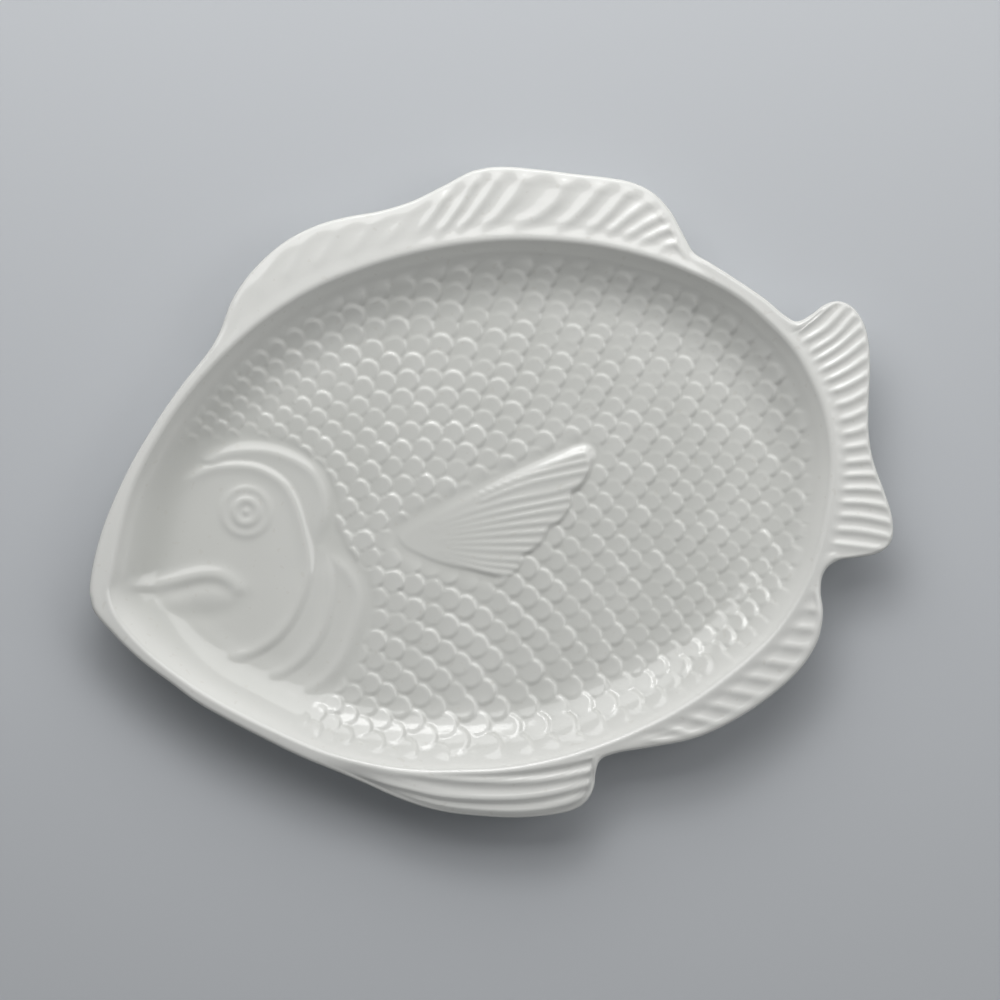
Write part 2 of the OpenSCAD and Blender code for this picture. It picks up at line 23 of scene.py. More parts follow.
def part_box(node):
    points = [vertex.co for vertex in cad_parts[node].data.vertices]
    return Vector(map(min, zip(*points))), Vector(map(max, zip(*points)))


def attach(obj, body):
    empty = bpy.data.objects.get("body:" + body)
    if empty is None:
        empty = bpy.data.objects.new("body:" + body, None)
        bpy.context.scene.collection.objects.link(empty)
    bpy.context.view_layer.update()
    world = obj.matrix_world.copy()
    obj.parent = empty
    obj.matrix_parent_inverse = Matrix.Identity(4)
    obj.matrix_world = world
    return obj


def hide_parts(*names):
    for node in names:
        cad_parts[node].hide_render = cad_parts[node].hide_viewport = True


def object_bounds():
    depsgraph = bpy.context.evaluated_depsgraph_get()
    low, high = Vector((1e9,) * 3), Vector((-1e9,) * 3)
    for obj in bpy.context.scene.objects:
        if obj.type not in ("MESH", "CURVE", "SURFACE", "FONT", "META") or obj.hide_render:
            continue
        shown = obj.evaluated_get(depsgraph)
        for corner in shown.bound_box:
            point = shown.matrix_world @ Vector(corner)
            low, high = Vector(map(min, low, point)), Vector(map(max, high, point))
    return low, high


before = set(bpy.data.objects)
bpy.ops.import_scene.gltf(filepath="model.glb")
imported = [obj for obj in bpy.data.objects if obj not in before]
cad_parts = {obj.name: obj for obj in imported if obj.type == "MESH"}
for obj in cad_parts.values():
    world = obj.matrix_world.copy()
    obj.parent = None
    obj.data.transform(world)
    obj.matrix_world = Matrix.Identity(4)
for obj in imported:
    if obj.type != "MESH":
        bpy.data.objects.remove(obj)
CAD_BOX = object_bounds()

LOG = logging.getLogger("platter")
MM = 0.001
BODY = "root"

# Steps from one listed point of a crest line to the next
CREST_STEPS = 5
# The third number that settles the chance of a scale, after those of its column and its place in it
CHANCE_SEED = 0.5
# Multiplies a vector to lay it level
LEVEL = (1.0, 1.0, 0.0)
# What a smooth maximum adds where both of its values are the same, as a share of its blend
SMOOTH_MAX_GAIN = 1 / 6
# Ranges of the noise over which clouds and specks grow, and what of the second colour (painted shade on the
# glaze, cloudy tone on the bare porcelain) stays between the clouds
CLOUD_RANGE = (0.3, 0.7)
SPECK_RANGE = (0.74, 0.8)
CLEAR_SHARE = 0.65
# Blender's names and numbers: a vector attribute, the colour sockets of a Mix node, the faces inside a loop
VECTOR = "FLOAT_VECTOR"
MIX_FIRST, MIX_SECOND, MIX_RESULT = 6, 7, 2
FACES_INSIDE = 1

Rows = Sequence[Sequence[float]]
RimRings = list[tuple[np.ndarray, np.ndarray, np.ndarray]]
Color = tuple[float, float, float, float]
Socket = Union[bpy.types.NodeSocket, float, int, tuple]


class Node(Enum):
    """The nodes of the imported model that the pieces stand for."""

    CASTING = "platter_body"
    FOOT = "bare_foot"


class Slot(Enum):
    """The material slots of the record."""

    GLAZE = "glazed_porcelain"
    BARE = "bare_porcelain"


# The outline, clockwise from the snout, as shares of the platter's length and width from the origin
BROW_SHARES = (
    (-0.500, -0.024), (-0.474, 0.057), (-0.426, 0.147), (-0.378, 0.215), (-0.339, 0.262), (-0.296, 0.308),
)
FRONT_HUMP_SHARES = (
    (-0.280, 0.332), (-0.257, 0.377), (-0.227, 0.413), (-0.182, 0.447), (-0.139, 0.463), (-0.099, 0.467),
    (-0.059, 0.466), (-0.018, 0.471),
)
BACK_FIN_SHARES = (
    (0.025, 0.485), (0.066, 0.499), (0.100, 0.496), (0.143, 0.481), (0.184, 0.464), (0.226, 0.447),
    (0.253, 0.433), (0.276, 0.411), (0.293, 0.377), (0.303, 0.337), (0.311, 0.308),
)
BACK_RIM_SHARES = ((0.328, 0.288), (0.353, 0.258), (0.386, 0.216), (0.405, 0.186))
TAIL_FIN_SHARES = (
    (0.418, 0.173), (0.437, 0.179), (0.456, 0.190), (0.473, 0.191), (0.488, 0.179), (0.498, 0.153),
    (0.500, 0.121), (0.496, 0.083), (0.484, 0.020), (0.478, -0.020), (0.477, -0.060), (0.483, -0.112),
    (0.486, -0.146), (0.485, -0.167), (0.480, -0.187), (0.470, -0.198), (0.456, -0.203), (0.429, -0.202),
    (0.413, -0.201),
)
VENT_FIN_SHARES = (
    (0.398, -0.207), (0.388, -0.220), (0.382, -0.244), (0.380, -0.275), (0.368, -0.314), (0.347, -0.345),
    (0.326, -0.365), (0.301, -0.383), (0.268, -0.402), (0.233, -0.417), (0.205, -0.425), (0.182, -0.428),
    (0.137, -0.427), (0.094, -0.426),
)
BELLY_FIN_SHARES = (
    (0.076, -0.431), (0.067, -0.449), (0.062, -0.469), (0.054, -0.484), (0.043, -0.494), (0.029, -0.499),
    (0.010, -0.500), (-0.036, -0.494), (-0.079, -0.481), (-0.122, -0.464), (-0.153, -0.446),
    (-0.182, -0.424), (-0.211, -0.398), (-0.241, -0.372),
)
CHIN_SHARES = (
    (-0.283, -0.337), (-0.324, -0.298), (-0.396, -0.223), (-0.422, -0.187), (-0.455, -0.141),
    (-0.483, -0.090), (-0.499, -0.052),
)
OUTLINE_SHARES = (
    BROW_SHARES + FRONT_HUMP_SHARES + BACK_FIN_SHARES + BACK_RIM_SHARES + TAIL_FIN_SHARES + VENT_FIN_SHARES
    + BELLY_FIN_SHARES + CHIN_SHARES
)

# The rim's inner edge, clockwise from the snout, as shares of the well's length and width from its centre
WELL_SHARES = (
    (-0.490, 0.014), (-0.442, 0.160), (-0.382, 0.266), (-0.319, 0.345), (-0.242, 0.416), (-0.164, 0.463),
    (-0.099, 0.485), (-0.026, 0.498), (0.036, 0.500), (0.089, 0.496), (0.146, 0.484), (0.231, 0.451),
    (0.296, 0.412), (0.351, 0.368), (0.412, 0.301), (0.448, 0.240), (0.475, 0.178), (0.489, 0.123),
    (0.498, 0.064), (0.500, 0.008), (0.495, -0.053), (0.483, -0.112), (0.466, -0.172), (0.443, -0.236),
    (0.414, -0.291), (0.376, -0.343), (0.336, -0.381), (0.297, -0.410), (0.265, -0.431), (0.211, -0.459),
    (0.158, -0.478), (0.125, -0.487), (0.074, -0.497), (0.023, -0.500), (-0.025, -0.497), (-0.073, -0.487),
    (-0.133, -0.470), (-0.186, -0.446), (-0.249, -0.404), (-0.328, -0.327), (-0.399, -0.245),
    (-0.451, -0.167), (-0.478, -0.113), (-0.497, -0.057), (-0.499, -0.020),
)

# Lines of the head, in millimetres on the platter: each plate's visible edge, and the way back to its start
CHEEK_EDGE = (
    (-147.0, 34.0), (-140.4, 38.0), (-125.0, 41.6), (-114.3, 41.2), (-103.1, 38.1), (-95.0, 32.8),
    (-89.1, 25.7), (-86.2, 17.8), (-84.9, 10.3), (-84.2, 0.0), (-84.3, -9.0), (-85.8, -18.7),
    (-91.1, -29.4), (-97.4, -38.2), (-106.3, -46.4), (-116.3, -51.2), (-127.0, -53.5), (-140.0, -52.0),
)
CHEEK_ROOT = ((-158.0, -45.0), (-172.0, -25.0), (-177.0, -5.0), (-172.0, 12.0), (-160.0, 28.0))
GILL_TOP_EDGE = (
    (-128.0, 44.0), (-115.0, 47.3), (-100.7, 45.8), (-92.1, 42.7), (-83.2, 37.3), (-76.4, 30.5),
    (-73.2, 23.5), (-72.4, 15.1), (-74.0, 6.5), (-78.5, -3.0),
)
GILL_TOP_ROOT = ((-84.0, -12.0), (-96.0, 0.0), (-108.0, 25.0))
GILL_LOW_EDGE = (
    (-77.0, -8.0), (-75.6, -15.0), (-76.6, -25.0), (-79.7, -36.3), (-84.4, -46.2), (-91.4, -54.5),
    (-100.0, -60.8), (-111.0, -65.0), (-124.0, -66.5),
)
GILL_LOW_ROOT = ((-132.0, -56.0), (-112.0, -42.0), (-92.0, -15.0), (-84.0, -4.0))
COLLAR_EDGE = (
    (-74.6, -10.9), (-68.8, -18.4), (-65.6, -26.0), (-64.8, -34.5), (-67.4, -43.8), (-71.8, -52.0),
    (-77.2, -60.4), (-85.1, -68.3), (-95.2, -74.0), (-107.0, -77.5),
)
COLLAR_ROOT = ((-116.0, -66.0), (-98.0, -50.0), (-86.0, -25.0), (-80.0, -8.0))
EYE_CENTRE = (-111.6, 15.7)
UPPER_LIP = (
    (-178.0, -5.5), (-166.8, -8.3), (-157.9, -9.6), (-151.4, -9.6), (-143.9, -9.2), (-136.7, -9.4),
    (-130.0, -11.2), (-125.5, -14.6), (-122.5, -18.6),
)
MOUTH = (
    (-172.0, -12.5), (-160.0, -14.5), (-150.0, -14.7), (-141.0, -14.0), (-133.0, -15.0), (-128.0, -18.5),
)
LOWER_LIP = ((-158.0, -17.5), (-148.0, -18.6), (-138.0, -19.0), (-130.0, -21.5))
CHIN_CREASE = ((-160.0, -24.0), (-151.1, -25.0), (-140.2, -27.5), (-128.0, -27.5), (-120.0, -24.0))

# The front edge of the scales, in millimetres on the platter, from the brow's wall down to the chin, with the
# width over which they fade in
SCALE_FRONT = (
    (-168.0, 62.0, 16.0), (-150.0, 50.0, 18.0), (-130.0, 47.0, 16.0), (-112.0, 49.0, 9.0), (-98.0, 46.5, 6.0),
    (-84.0, 39.5, 5.0), (-73.5, 28.0, 5.0), (-71.0, 14.0, 5.0), (-74.0, 2.0, 5.0), (-71.0, -10.0, 5.0),
    (-64.0, -24.0, 5.0), (-63.0, -36.0, 5.0), (-68.0, -50.0, 5.0), (-77.0, -64.0, 5.0), (-90.0, -74.0, 6.0),
    (-108.0, -82.0, 6.0), (-120.0, -90.0, 6.0),
)

# The side fin, in millimetres on the platter: its root, and its edge round the ends of its four lobes
SIDE_ROOT = (-43.0, -11.0)
SIDE_EDGE = (
    (-43.4, -9.6), (-38.3, -6.2), (-27.5, -3.2), (-15.0, 0.6), (-2.7, 4.0), (9.6, 7.0), (21.7, 9.4),
    (30.8, 11.2), (39.8, 12.8), (46.6, 14.0), (51.6, 13.4), (53.2, 10.8), (52.5, 7.3), (51.0, 3.7),
    (48.2, -0.6), (43.9, -4.0), (40.2, -5.9), (39.6, -8.3), (38.8, -11.4), (35.8, -15.2), (30.8, -18.6),
    (26.6, -20.0), (25.4, -21.4), (22.8, -25.0), (18.7, -27.8), (13.3, -29.8), (11.2, -30.6),
    (10.9, -32.4), (8.7, -36.0), (5.0, -38.2), (0.7, -38.2), (-6.0, -35.4), (-12.7, -32.2),
    (-21.5, -28.5), (-30.0, -24.0), (-37.0, -19.0), (-42.0, -14.6),
)
# The part of that edge beside which the scales fade: round the root and along the top lobe
SIDE_TOP_EDGE = SIDE_EDGE[-6:] + SIDE_EDGE[:12]

# Crests of the ribs and rays, in millimetres on the platter, in their order round each fin
FRONT_HUMP_RIBS = (
    ((-84.0, 117.0), (-78.0, 126.0), (-74.0, 133.0)),
    ((-70.0, 121.0), (-62.0, 130.0), (-57.0, 137.0)),
    ((-55.0, 123.0), (-46.0, 132.0), (-40.0, 139.0)),
    ((-39.0, 124.5), (-29.0, 133.0), (-22.0, 140.0)),
    ((-23.0, 125.0), (-12.0, 134.0), (-5.0, 141.0)),
    ((-9.0, 125.0), (3.0, 135.5), (11.0, 144.0)),
)
BACK_FIN_RIBS = (
    ((2.7, 124.9), (14.0, 135.0), (25.1, 146.5)),
    ((12.9, 125.0), (23.0, 133.5), (34.5, 144.5)),
    ((23.3, 122.8), (34.0, 130.0), (42.0, 137.0), (50.0, 145.3)),
    ((39.1, 120.7), (54.0, 125.9), (61.4, 131.0), (68.0, 140.3)),
    ((58.0, 115.7), (69.4, 122.4), (77.5, 128.3), (85.9, 135.6)),
    ((71.6, 112.0), (82.8, 118.9), (90.5, 124.9), (98.4, 129.6)),
    ((81.3, 110.2), (91.1, 115.5), (98.0, 118.6), (105.0, 121.4)),
    ((88.5, 106.4), (98.0, 110.2), (109.4, 113.4)),
    ((93.7, 102.5), (103.0, 105.4), (113.3, 106.9)),
    ((101.7, 97.0), (108.0, 98.9), (115.0, 98.9)),
)
TAIL_RIBS = (
    ((157.0, 47.0), (166.0, 51.0), (175.0, 56.5)),
    ((160.2, 42.5), (171.5, 46.6), (181.5, 53.6)),
    ((162.5, 37.1), (175.0, 41.9), (186.5, 50.4)),
    ((162.0, 32.0), (173.0, 35.9), (189.0, 44.6)),
    ((163.0, 27.0), (176.5, 31.2), (189.4, 37.7)),
    ((163.0, 21.5), (175.0, 24.4), (189.4, 30.0)),
    ((164.0, 16.5), (175.8, 18.2), (188.3, 22.2)),
    ((165.0, 10.0), (176.0, 11.0), (187.0, 14.6)),
    ((165.5, 3.0), (175.0, 3.6), (185.0, 6.0)),
    ((165.5, -3.5), (175.0, -3.5), (184.0, -2.0)),
    ((165.5, -10.0), (175.0, -10.5), (183.0, -10.5)),
    ((165.0, -16.5), (175.0, -17.5), (182.5, -18.0)),
    ((164.5, -22.5), (175.0, -24.0), (182.5, -25.7)),
    ((163.0, -28.5), (174.0, -30.5), (183.5, -33.0)),
    ((162.0, -34.5), (172.0, -36.6), (184.0, -41.0)),
    ((160.0, -40.5), (170.2, -43.0), (184.5, -48.8)),
    ((157.0, -46.5), (168.5, -49.5), (183.0, -55.5)),
    ((153.0, -52.0), (164.0, -55.5), (177.0, -60.0)),
)
VENT_RIBS = (
    ((134.0, -69.0), (141.0, -72.0), (148.0, -74.0)),
    ((129.0, -77.0), (138.0, -80.5), (147.0, -83.0)),
    ((123.0, -84.5), (133.0, -88.5), (144.0, -91.5)),
    ((116.0, -91.5), (127.0, -96.0), (139.0, -99.5)),
    ((108.0, -98.0), (120.0, -102.8), (132.0, -107.0)),
    ((99.0, -103.5), (111.0, -108.3), (123.0, -113.0)),
    ((89.5, -108.5), (101.0, -113.3), (113.0, -118.5)),
    ((79.0, -112.5), (90.0, -117.6), (102.0, -123.5)),
    ((68.5, -116.0), (78.5, -121.3), (90.0, -127.5)),
    ((57.5, -119.0), (67.0, -124.5), (77.0, -130.0)),
    ((46.5, -121.5), (54.0, -126.5), (62.0, -131.0)),
)
BELLY_FLUTES = (
    ((-84.0, -102.5), (-62.0, -112.0), (-38.0, -120.8), (-8.0, -127.6), (12.0, -128.8), (29.0, -128.4)),
    ((-86.0, -108.0), (-60.0, -119.0), (-37.9, -126.6), (-6.5, -133.4), (12.0, -134.8), (28.0, -134.2)),
    ((-84.0, -115.5), (-62.0, -126.0), (-46.6, -132.6), (-14.0, -140.2), (6.0, -141.4), (25.5, -140.2)),
    ((-80.0, -122.0), (-62.0, -131.0), (-46.0, -138.2), (-28.0, -143.6), (-3.4, -147.6), (21.0, -145.6)),
)
SIDE_RAYS = (
    ((-38.0, -7.4), (-15.0, -0.6), (9.6, 5.6), (30.8, 9.8), (49.5, 12.0)),
    ((-5.0, 1.2), (16.9, 5.9), (35.0, 7.2), (51.1, 7.6)),
    ((-2.0, -0.9), (19.9, 2.6), (35.0, 3.2), (50.3, 3.0)),
    ((-24.0, -7.3), (7.5, -3.6), (32.9, -3.6), (44.6, -1.9)),
    ((-27.9, -9.7), (-0.7, -8.2), (20.0, -7.9), (39.0, -8.0)),
    ((-20.0, -11.3), (-1.3, -11.4), (18.0, -11.6), (37.4, -12.3)),
    ((-20.0, -13.1), (1.8, -14.6), (18.0, -15.9), (33.0, -17.3)),
    ((-27.5, -14.7), (-2.4, -17.6), (12.0, -19.4), (24.8, -21.0)),
    ((-22.0, -17.4), (-3.2, -20.9), (10.0, -23.4), (22.0, -25.6)),
    ((-20.0, -19.9), (-3.7, -24.0), (8.0, -26.7), (17.3, -28.7)),
    ((-28.3, -19.4), (-7.7, -27.2), (2.0, -30.0), (10.6, -32.0)),
    ((-24.0, -22.6), (-9.0, -29.6), (0.0, -32.6), (8.0, -35.2)),
    ((-22.0, -25.2), (-12.4, -30.6), (-4.0, -34.4), (4.5, -37.2)),
)

# Steps from a scale to its two neighbours behind it, at places on the body: x, y, step up the back, step down
SCALE_STEPS = (
    (-95, 75, 1.5, 9.0, 9.6, 3.5), (-60, 75, 2.5, 9.3, 9.8, 2.5), (-30, 75, 4.5, 8.0, 10.0, 0.0),
    (0, 75, 4.7, 8.4, 9.8, -2.2), (30, 75, 4.2, 7.4, 10.0, -5.5), (60, 75, 3.5, 6.2, 9.2, -6.2),
    (-60, 100, 2.0, 9.0, 9.8, 3.0), (0, 105, 4.2, 8.0, 9.8, -1.5), (60, 100, 3.3, 6.2, 9.0, -5.6),
    (-95, 50, 4.0, 9.5, 9.0, 2.0), (-60, 50, 4.5, 9.8, 9.0, 1.0), (0, 50, 5.5, 11.0, 10.0, -2.8),
    (30, 50, 4.7, 8.0, 9.2, -6.0), (60, 50, 3.9, 6.5, 8.8, -7.0), (90, 50, 4.5, 5.0, 7.6, -6.3),
    (115, 50, 4.2, 5.1, 7.4, -5.6), (-60, 25, 5.5, 8.8, 9.0, -2.0), (-30, 25, 5.0, 11.0, 9.3, -2.8),
    (0, 25, 5.1, 12.0, 9.5, -3.0), (30, 25, 5.0, 9.0, 9.6, -5.6), (60, 25, 4.4, 6.6, 7.0, -7.0),
    (90, 25, 5.0, 5.2, 6.3, -5.8), (125, 30, 4.3, 5.0, 6.0, -6.3), (-60, 0, 6.1, 7.0, 9.5, -3.4),
    (60, 0, 5.6, 5.7, 5.4, -8.8), (90, 0, 5.2, 4.5, 5.3, -7.5), (115, 0, 5.1, 4.9, 5.6, -7.6),
    (140, 0, 5.0, 4.8, 5.4, -7.4), (60, -25, 6.0, 5.6, 4.4, -9.0), (90, -25, 5.6, 4.4, 4.4, -8.2),
    (120, -30, 5.9, 4.5, 4.5, -7.8), (-60, -50, 8.9, 4.8, 3.2, -7.6), (-30, -50, 9.6, 4.4, 4.2, -8.2),
    (0, -50, 9.6, 3.6, 4.6, -10.2), (30, -50, 7.8, 5.0, 3.6, -10.4), (60, -50, 6.6, 5.8, 3.2, -8.6),
    (90, -50, 6.4, 4.2, 2.8, -8.8), (120, -55, 6.0, 4.0, 3.2, -7.8), (-60, -75, 9.3, 3.9, 3.7, -9.2),
    (-30, -75, 10.2, 4.8, 4.4, -10.2), (0, -75, 10.0, 4.0, 4.2, -11.0), (30, -75, 8.6, 5.0, 2.6, -10.2),
    (60, -75, 6.4, 4.6, 3.2, -7.8), (90, -75, 5.3, 3.0, 2.8, -7.8), (-30, -105, 10.2, 5.0, 4.5, -10.0),
    (30, -105, 8.2, 4.8, 2.4, -9.6),
)


@dataclass(frozen=True)
class PlatterSizes:
    """Sizes of the platter, in millimetres."""

    length: float = 380.0
    width: float = 303.0
    height: float = 28.0
    wall: float = 4.8
    edge: float = 4.4
    snout_rim: float = 9.5
    tail_fin: float = 27.4
    back_fin: float = 33.3
    belly_fin: float = 26.0
    crown: float = 1.1
    fin_dish: float = 1.2
    lip: float = 5.5
    shoulder: float = 2.6
    cove: float = 34.0
    cove_power: float = 2.2
    foot_height: float = 3.5
    foot_width: float = 6.0
    foot_inset: float = 22.0
    bare_height: float = 0.6

    @property
    def well_length(self) -> float:
        """Length of the well at the rim's inner edge."""
        return self.length - self.snout_rim - self.tail_fin

    @property
    def well_width(self) -> float:
        """Width of the well at the rim's inner edge."""
        return self.width - self.back_fin - self.belly_fin

    @property
    def well_centre(self) -> np.ndarray:
        """Centre of the well."""
        return np.array([(self.snout_rim - self.tail_fin) / 2, (self.belly_fin - self.back_fin) / 2])

    @property
    def floor(self) -> float:
        """Height of the well's floor."""
        return self.foot_height + self.wall

    @property
    def well_depth(self) -> float:
        """Depth of the floor under the rim's inner edge."""
        return self.height - self.crown - self.floor

    @property
    def foot_end(self) -> float:
        """How far inside the rim's inner edge the foot ring ends."""
        return self.foot_inset + self.foot_width

    def on_platter(self, shares: Rows) -> np.ndarray:
        """Places given as shares of the platter, in millimetres."""
        return np.array(shares) * (self.length, self.width)

    def in_well(self, shares: Rows) -> np.ndarray:
        """Places given as shares of the well, in millimetres."""
        return self.well_centre + np.array(shares) * (self.well_length, self.well_width)


def smooth_curve(points: np.ndarray, steps: int, closed: bool) -> tuple[np.ndarray, np.ndarray]:
    """Draws a smooth curve through listed points.

    Args:
        points: the points, one to a row, of any number of columns.
        steps: how many steps lead from one point to the next.
        closed: whether the last point leads back to the first.

    Returns:
        The place of each point of the curve, counted in listed points, and the points themselves.
    """
    if closed:
        padded = np.vstack([points[-1:], points, points[:2]])
    else:
        padded = np.vstack([2 * points[:1] - points[1:2], points, 2 * points[-1:] - points[-2:-1]])
    a, b, c, d = (padded[k: len(padded) - 3 + k, None, :] for k in range(4))
    gap = [np.sqrt(np.linalg.norm(q - p, axis=2, keepdims=True)) for p, q in ((a, b), (b, c), (c, d))]
    tb = gap[0]
    tc = tb + gap[1]
    td = tc + gap[2]
    t = tb + (np.arange(steps) / steps)[None, :, None] * gap[1]
    ab = a + (b - a) * t / tb
    bc = b + (c - b) * (t - tb) / (tc - tb)
    cd = c + (d - c) * (t - tc) / (td - tc)
    abc = ab + (bc - ab) * t / tc
    bcd = bc + (cd - bc) * (t - tb) / (td - tb)
    curve = (abc + (bcd - abc) * (t - tb) / (tc - tb)).reshape(-1, points.shape[1])
    places = np.arange(len(curve)) / steps
    if not closed:
        curve = np.vstack([curve, points[-1:]])
        places = np.append(places, len(points) - 1)
    return places, curve


def smooth_line(points: Rows, steps: int) -> np.ndarray:
    """Draws a smooth open line through listed points."""
    return smooth_curve(np.array(points), steps, closed=False)[1]


def smooth_loop(points: Rows, steps: int) -> np.ndarray:
    """Draws a smooth closed line through listed points, without its first point again at its end."""
    return smooth_curve(np.array(points), steps, closed=True)[1]


def even_loop(places: np.ndarray, loop: np.ndarray, count: int) -> tuple[np.ndarray, np.ndarray]:
    """Samples a closed curve at even distances.

    Args:
        places: the place of each point of the curve.
        loop: the points of the curve.
        count: the number of samples.

    Returns:
        The place of each sample, and the samples.
    """
    whole_loop = np.vstack([loop, loop[:1]])
    whole = np.append(places, places[-1] + places[1] - places[0])
    run = np.append(0, np.cumsum(np.linalg.norm(np.diff(whole_loop, axis=0), axis=1)))
    wanted = np.linspace(0, run[-1], count, endpoint=False)
    columns = [np.interp(wanted, run, column) for column in whole_loop.T]
    return np.interp(wanted, run, whole), np.stack(columns, axis=1)


def smooth_step(value: np.ndarray, low: float, high: float) -> np.ndarray:
    """Runs smoothly from 0 where value is low to 1 where it is high."""
    t = np.clip((value - low) / (high - low), 0, 1)
    return t * t * (3 - 2 * t)


def curve_distance(points: np.ndarray, curve: np.ndarray) -> tuple[np.ndarray, np.ndarray, np.ndarray]:
    """Measures how far points lie from a curve.

    Args:
        points: the points.
        curve: the points of the curve.

    Returns:
        The distance of each point, how far along the curve its nearest place is, from 0 to 1, and the side
        that it lies on, more than 0 to the left of the curve.
    """
    best = np.full(len(points), np.inf)
    along = np.zeros(len(points))
    side = np.zeros(len(points))
    last = len(curve) - 1
    for k in range(last):
        start = curve[k]
        step = curve[k + 1] - start
        t = np.clip((points - start) @ step / (step @ step), 0, 1)
        gap = np.linalg.norm(points - start - t[:, None] * step, axis=1)
        nearer = gap < best
        best[nearer] = gap[nearer]
        along[nearer] = (k + t[nearer]) / last
        offset = points[nearer] - start
        side[nearer] = step[0] * offset[:, 1] - step[1] * offset[:, 0]
    return best, along, side


def inside_loop(points: np.ndarray, loop: np.ndarray) -> np.ndarray:
    """Tells which points lie inside a closed curve.

    Args:
        points: the points.
        loop: the points of the curve.

    Returns:
        True for each point that lies inside.
    """
    inside = np.zeros(len(points), dtype=bool)
    for p, q in zip(loop, np.roll(loop, -1, axis=0)):
        crosses = (p[1] > points[:, 1]) != (q[1] > points[:, 1])
        rise = q[1] - p[1] if q[1] != p[1] else 1.0
        inside ^= crosses & (points[:, 0] < p[0] + (points[:, 1] - p[1]) * (q[0] - p[0]) / rise)
    return inside


def loop_depth(points: np.ndarray, loop: np.ndarray) -> tuple[np.ndarray, np.ndarray]:
    """Measures how deep points lie inside a closed curve.

    Args:
        points: the points.
        loop: the points of the curve.

    Returns:
        The depth of each point, less than 0 outside, and how far along the curve its nearest place is.
    """
    gap, along, _ = curve_distance(points, np.vstack([loop, loop[:1]]))
    return np.where(inside_loop(points, loop), gap, -gap), along


def unit(vectors: np.ndarray) -> np.ndarray:
    """Scales each vector to length 1."""
    return vectors / np.linalg.norm(vectors, axis=1, keepdims=True)


def ring_points(plan: np.ndarray, height: Union[float, np.ndarray]) -> np.ndarray:
    """Stands a ring of plan points at a height."""
    return np.column_stack([plan, np.broadcast_to(height, len(plan))])


@dataclass
class PlatterShape:
    """The platter's outline, the edge of its well, and the height of its surfaces.

    Each sample of the outline is matched to a point of the rim's inner edge. The rings of the meshes lie on
    the straight lines through these pairs, and inside that edge on the lines from it to the well's centre.
    """

    sizes: PlatterSizes
    samples: int = 1000
    curve_steps: int = 24
    spine_head_share: float = -0.22
    spine_tail_share: float = 0.32
    edge_share: float = 0.7
    least_slant: float = 0.1

    def __post_init__(self) -> None:
        """Draws the outline and matches each of its samples to a point of the rim's inner edge."""
        sizes = self.sizes
        places, loop = smooth_curve(sizes.on_platter(OUTLINE_SHARES), self.curve_steps, closed=True)
        self.places, outline = even_loop(places, loop, self.samples)
        low, high = (np.array(Vector(corner)[:2]) / MM for corner in CAD_BOX)
        self.outline = np.clip(outline, low, high)
        well_line = smooth_loop(sizes.in_well(WELL_SHARES), self.curve_steps)
        spine, way = self._spine(well_line)
        reach = np.linalg.norm(well_line - spine, axis=1)
        spine, outline_way = self._spine(self.outline)
        reach_here = np.interp(outline_way, way, reach, period=720)
        self.inner = spine + unit(self.outline - spine) * reach_here[:, None]
        self.rim_width = np.linalg.norm(self.outline - self.inner, axis=1)
        self._outward = unit(self.outline - self.inner)
        self._inward = unit(sizes.well_centre - self.inner)
        run = unit(np.roll(self.outline, -1, axis=0) - np.roll(self.outline, 1, axis=0))
        slant = np.abs(run[:, 0] * self._outward[:, 1] - run[:, 1] * self._outward[:, 0])
        longest = np.maximum(sizes.edge, self.edge_share * self.rim_width)
        self.edge_reach = np.minimum(sizes.edge / np.maximum(slant, self.least_slant), longest)
        offset = well_line - sizes.well_centre
        self._angles = self._clockwise(offset)
        self._reach = np.linalg.norm(offset, axis=1)

    @staticmethod
    def _clockwise(vectors: np.ndarray) -> np.ndarray:
        """Angles of directions in degrees, clockwise from the snout."""
        return (540 - np.degrees(np.arctan2(vectors[:, 1], vectors[:, 0]))) % 360

    def _spine(self, points: np.ndarray) -> tuple[np.ndarray, np.ndarray]:
        """Finds the way of points round the middle line of the well.

        Args:
            points: the points.

        Returns:
            The nearest point of the middle line to each, and its way round that line.
        """
        centre = self.sizes.well_centre
        head = centre[0] + self.spine_head_share * self.sizes.well_length
        tail = centre[0] + self.spine_tail_share * self.sizes.well_length
        length = tail - head
        x = np.clip(points[:, 0], head, tail)
        spine = np.stack([x, np.full(len(x), centre[1])], axis=1)
        angle = self._clockwise(points - spine)
        run = np.where(angle < 180, x - head, 2 * length - (x - head))
        return spine, angle + 180 * run / length

    def inside_by(self, points: np.ndarray) -> np.ndarray:
        """Measures how far points lie inside the rim's inner edge, towards the well's centre.

        Args:
            points: places on the platter.

        Returns:
            The distance of each, 0 for those outside.
        """
        offset = points - self.sizes.well_centre
        reach = np.interp(self._clockwise(offset), self._angles, self._reach, period=360)
        return np.maximum(reach - np.linalg.norm(offset, axis=1), 0)

    def well_height(self, inside: Union[float, np.ndarray]) -> np.ndarray:
        """Height of the well's surface at distances inside the rim's inner edge."""
        share = np.clip(1 - inside / self.sizes.cove, 0, 1)
        return self.sizes.floor + self.sizes.well_depth * share ** self.sizes.cove_power

    def well_slope(self, inside: float) -> float:
        """Slope of the well's surface at a distance inside the rim's inner edge, within its cove."""
        sizes = self.sizes
        share = 1 - inside / sizes.cove
        return sizes.cove_power * sizes.well_depth / sizes.cove * share ** (sizes.cove_power - 1)

    def inner_ring(self, inside: Union[float, np.ndarray]) -> np.ndarray:
        """Points at a distance inside the rim's inner edge, one for each sample."""
        return self.inner + self._inward * np.reshape(inside, (-1, 1))

    def outer_ring(self, outside: Union[float, np.ndarray]) -> np.ndarray:
        """Points at a distance outside the rim's inner edge, one for each sample."""
        return self.inner + self._outward * np.reshape(outside, (-1, 1))


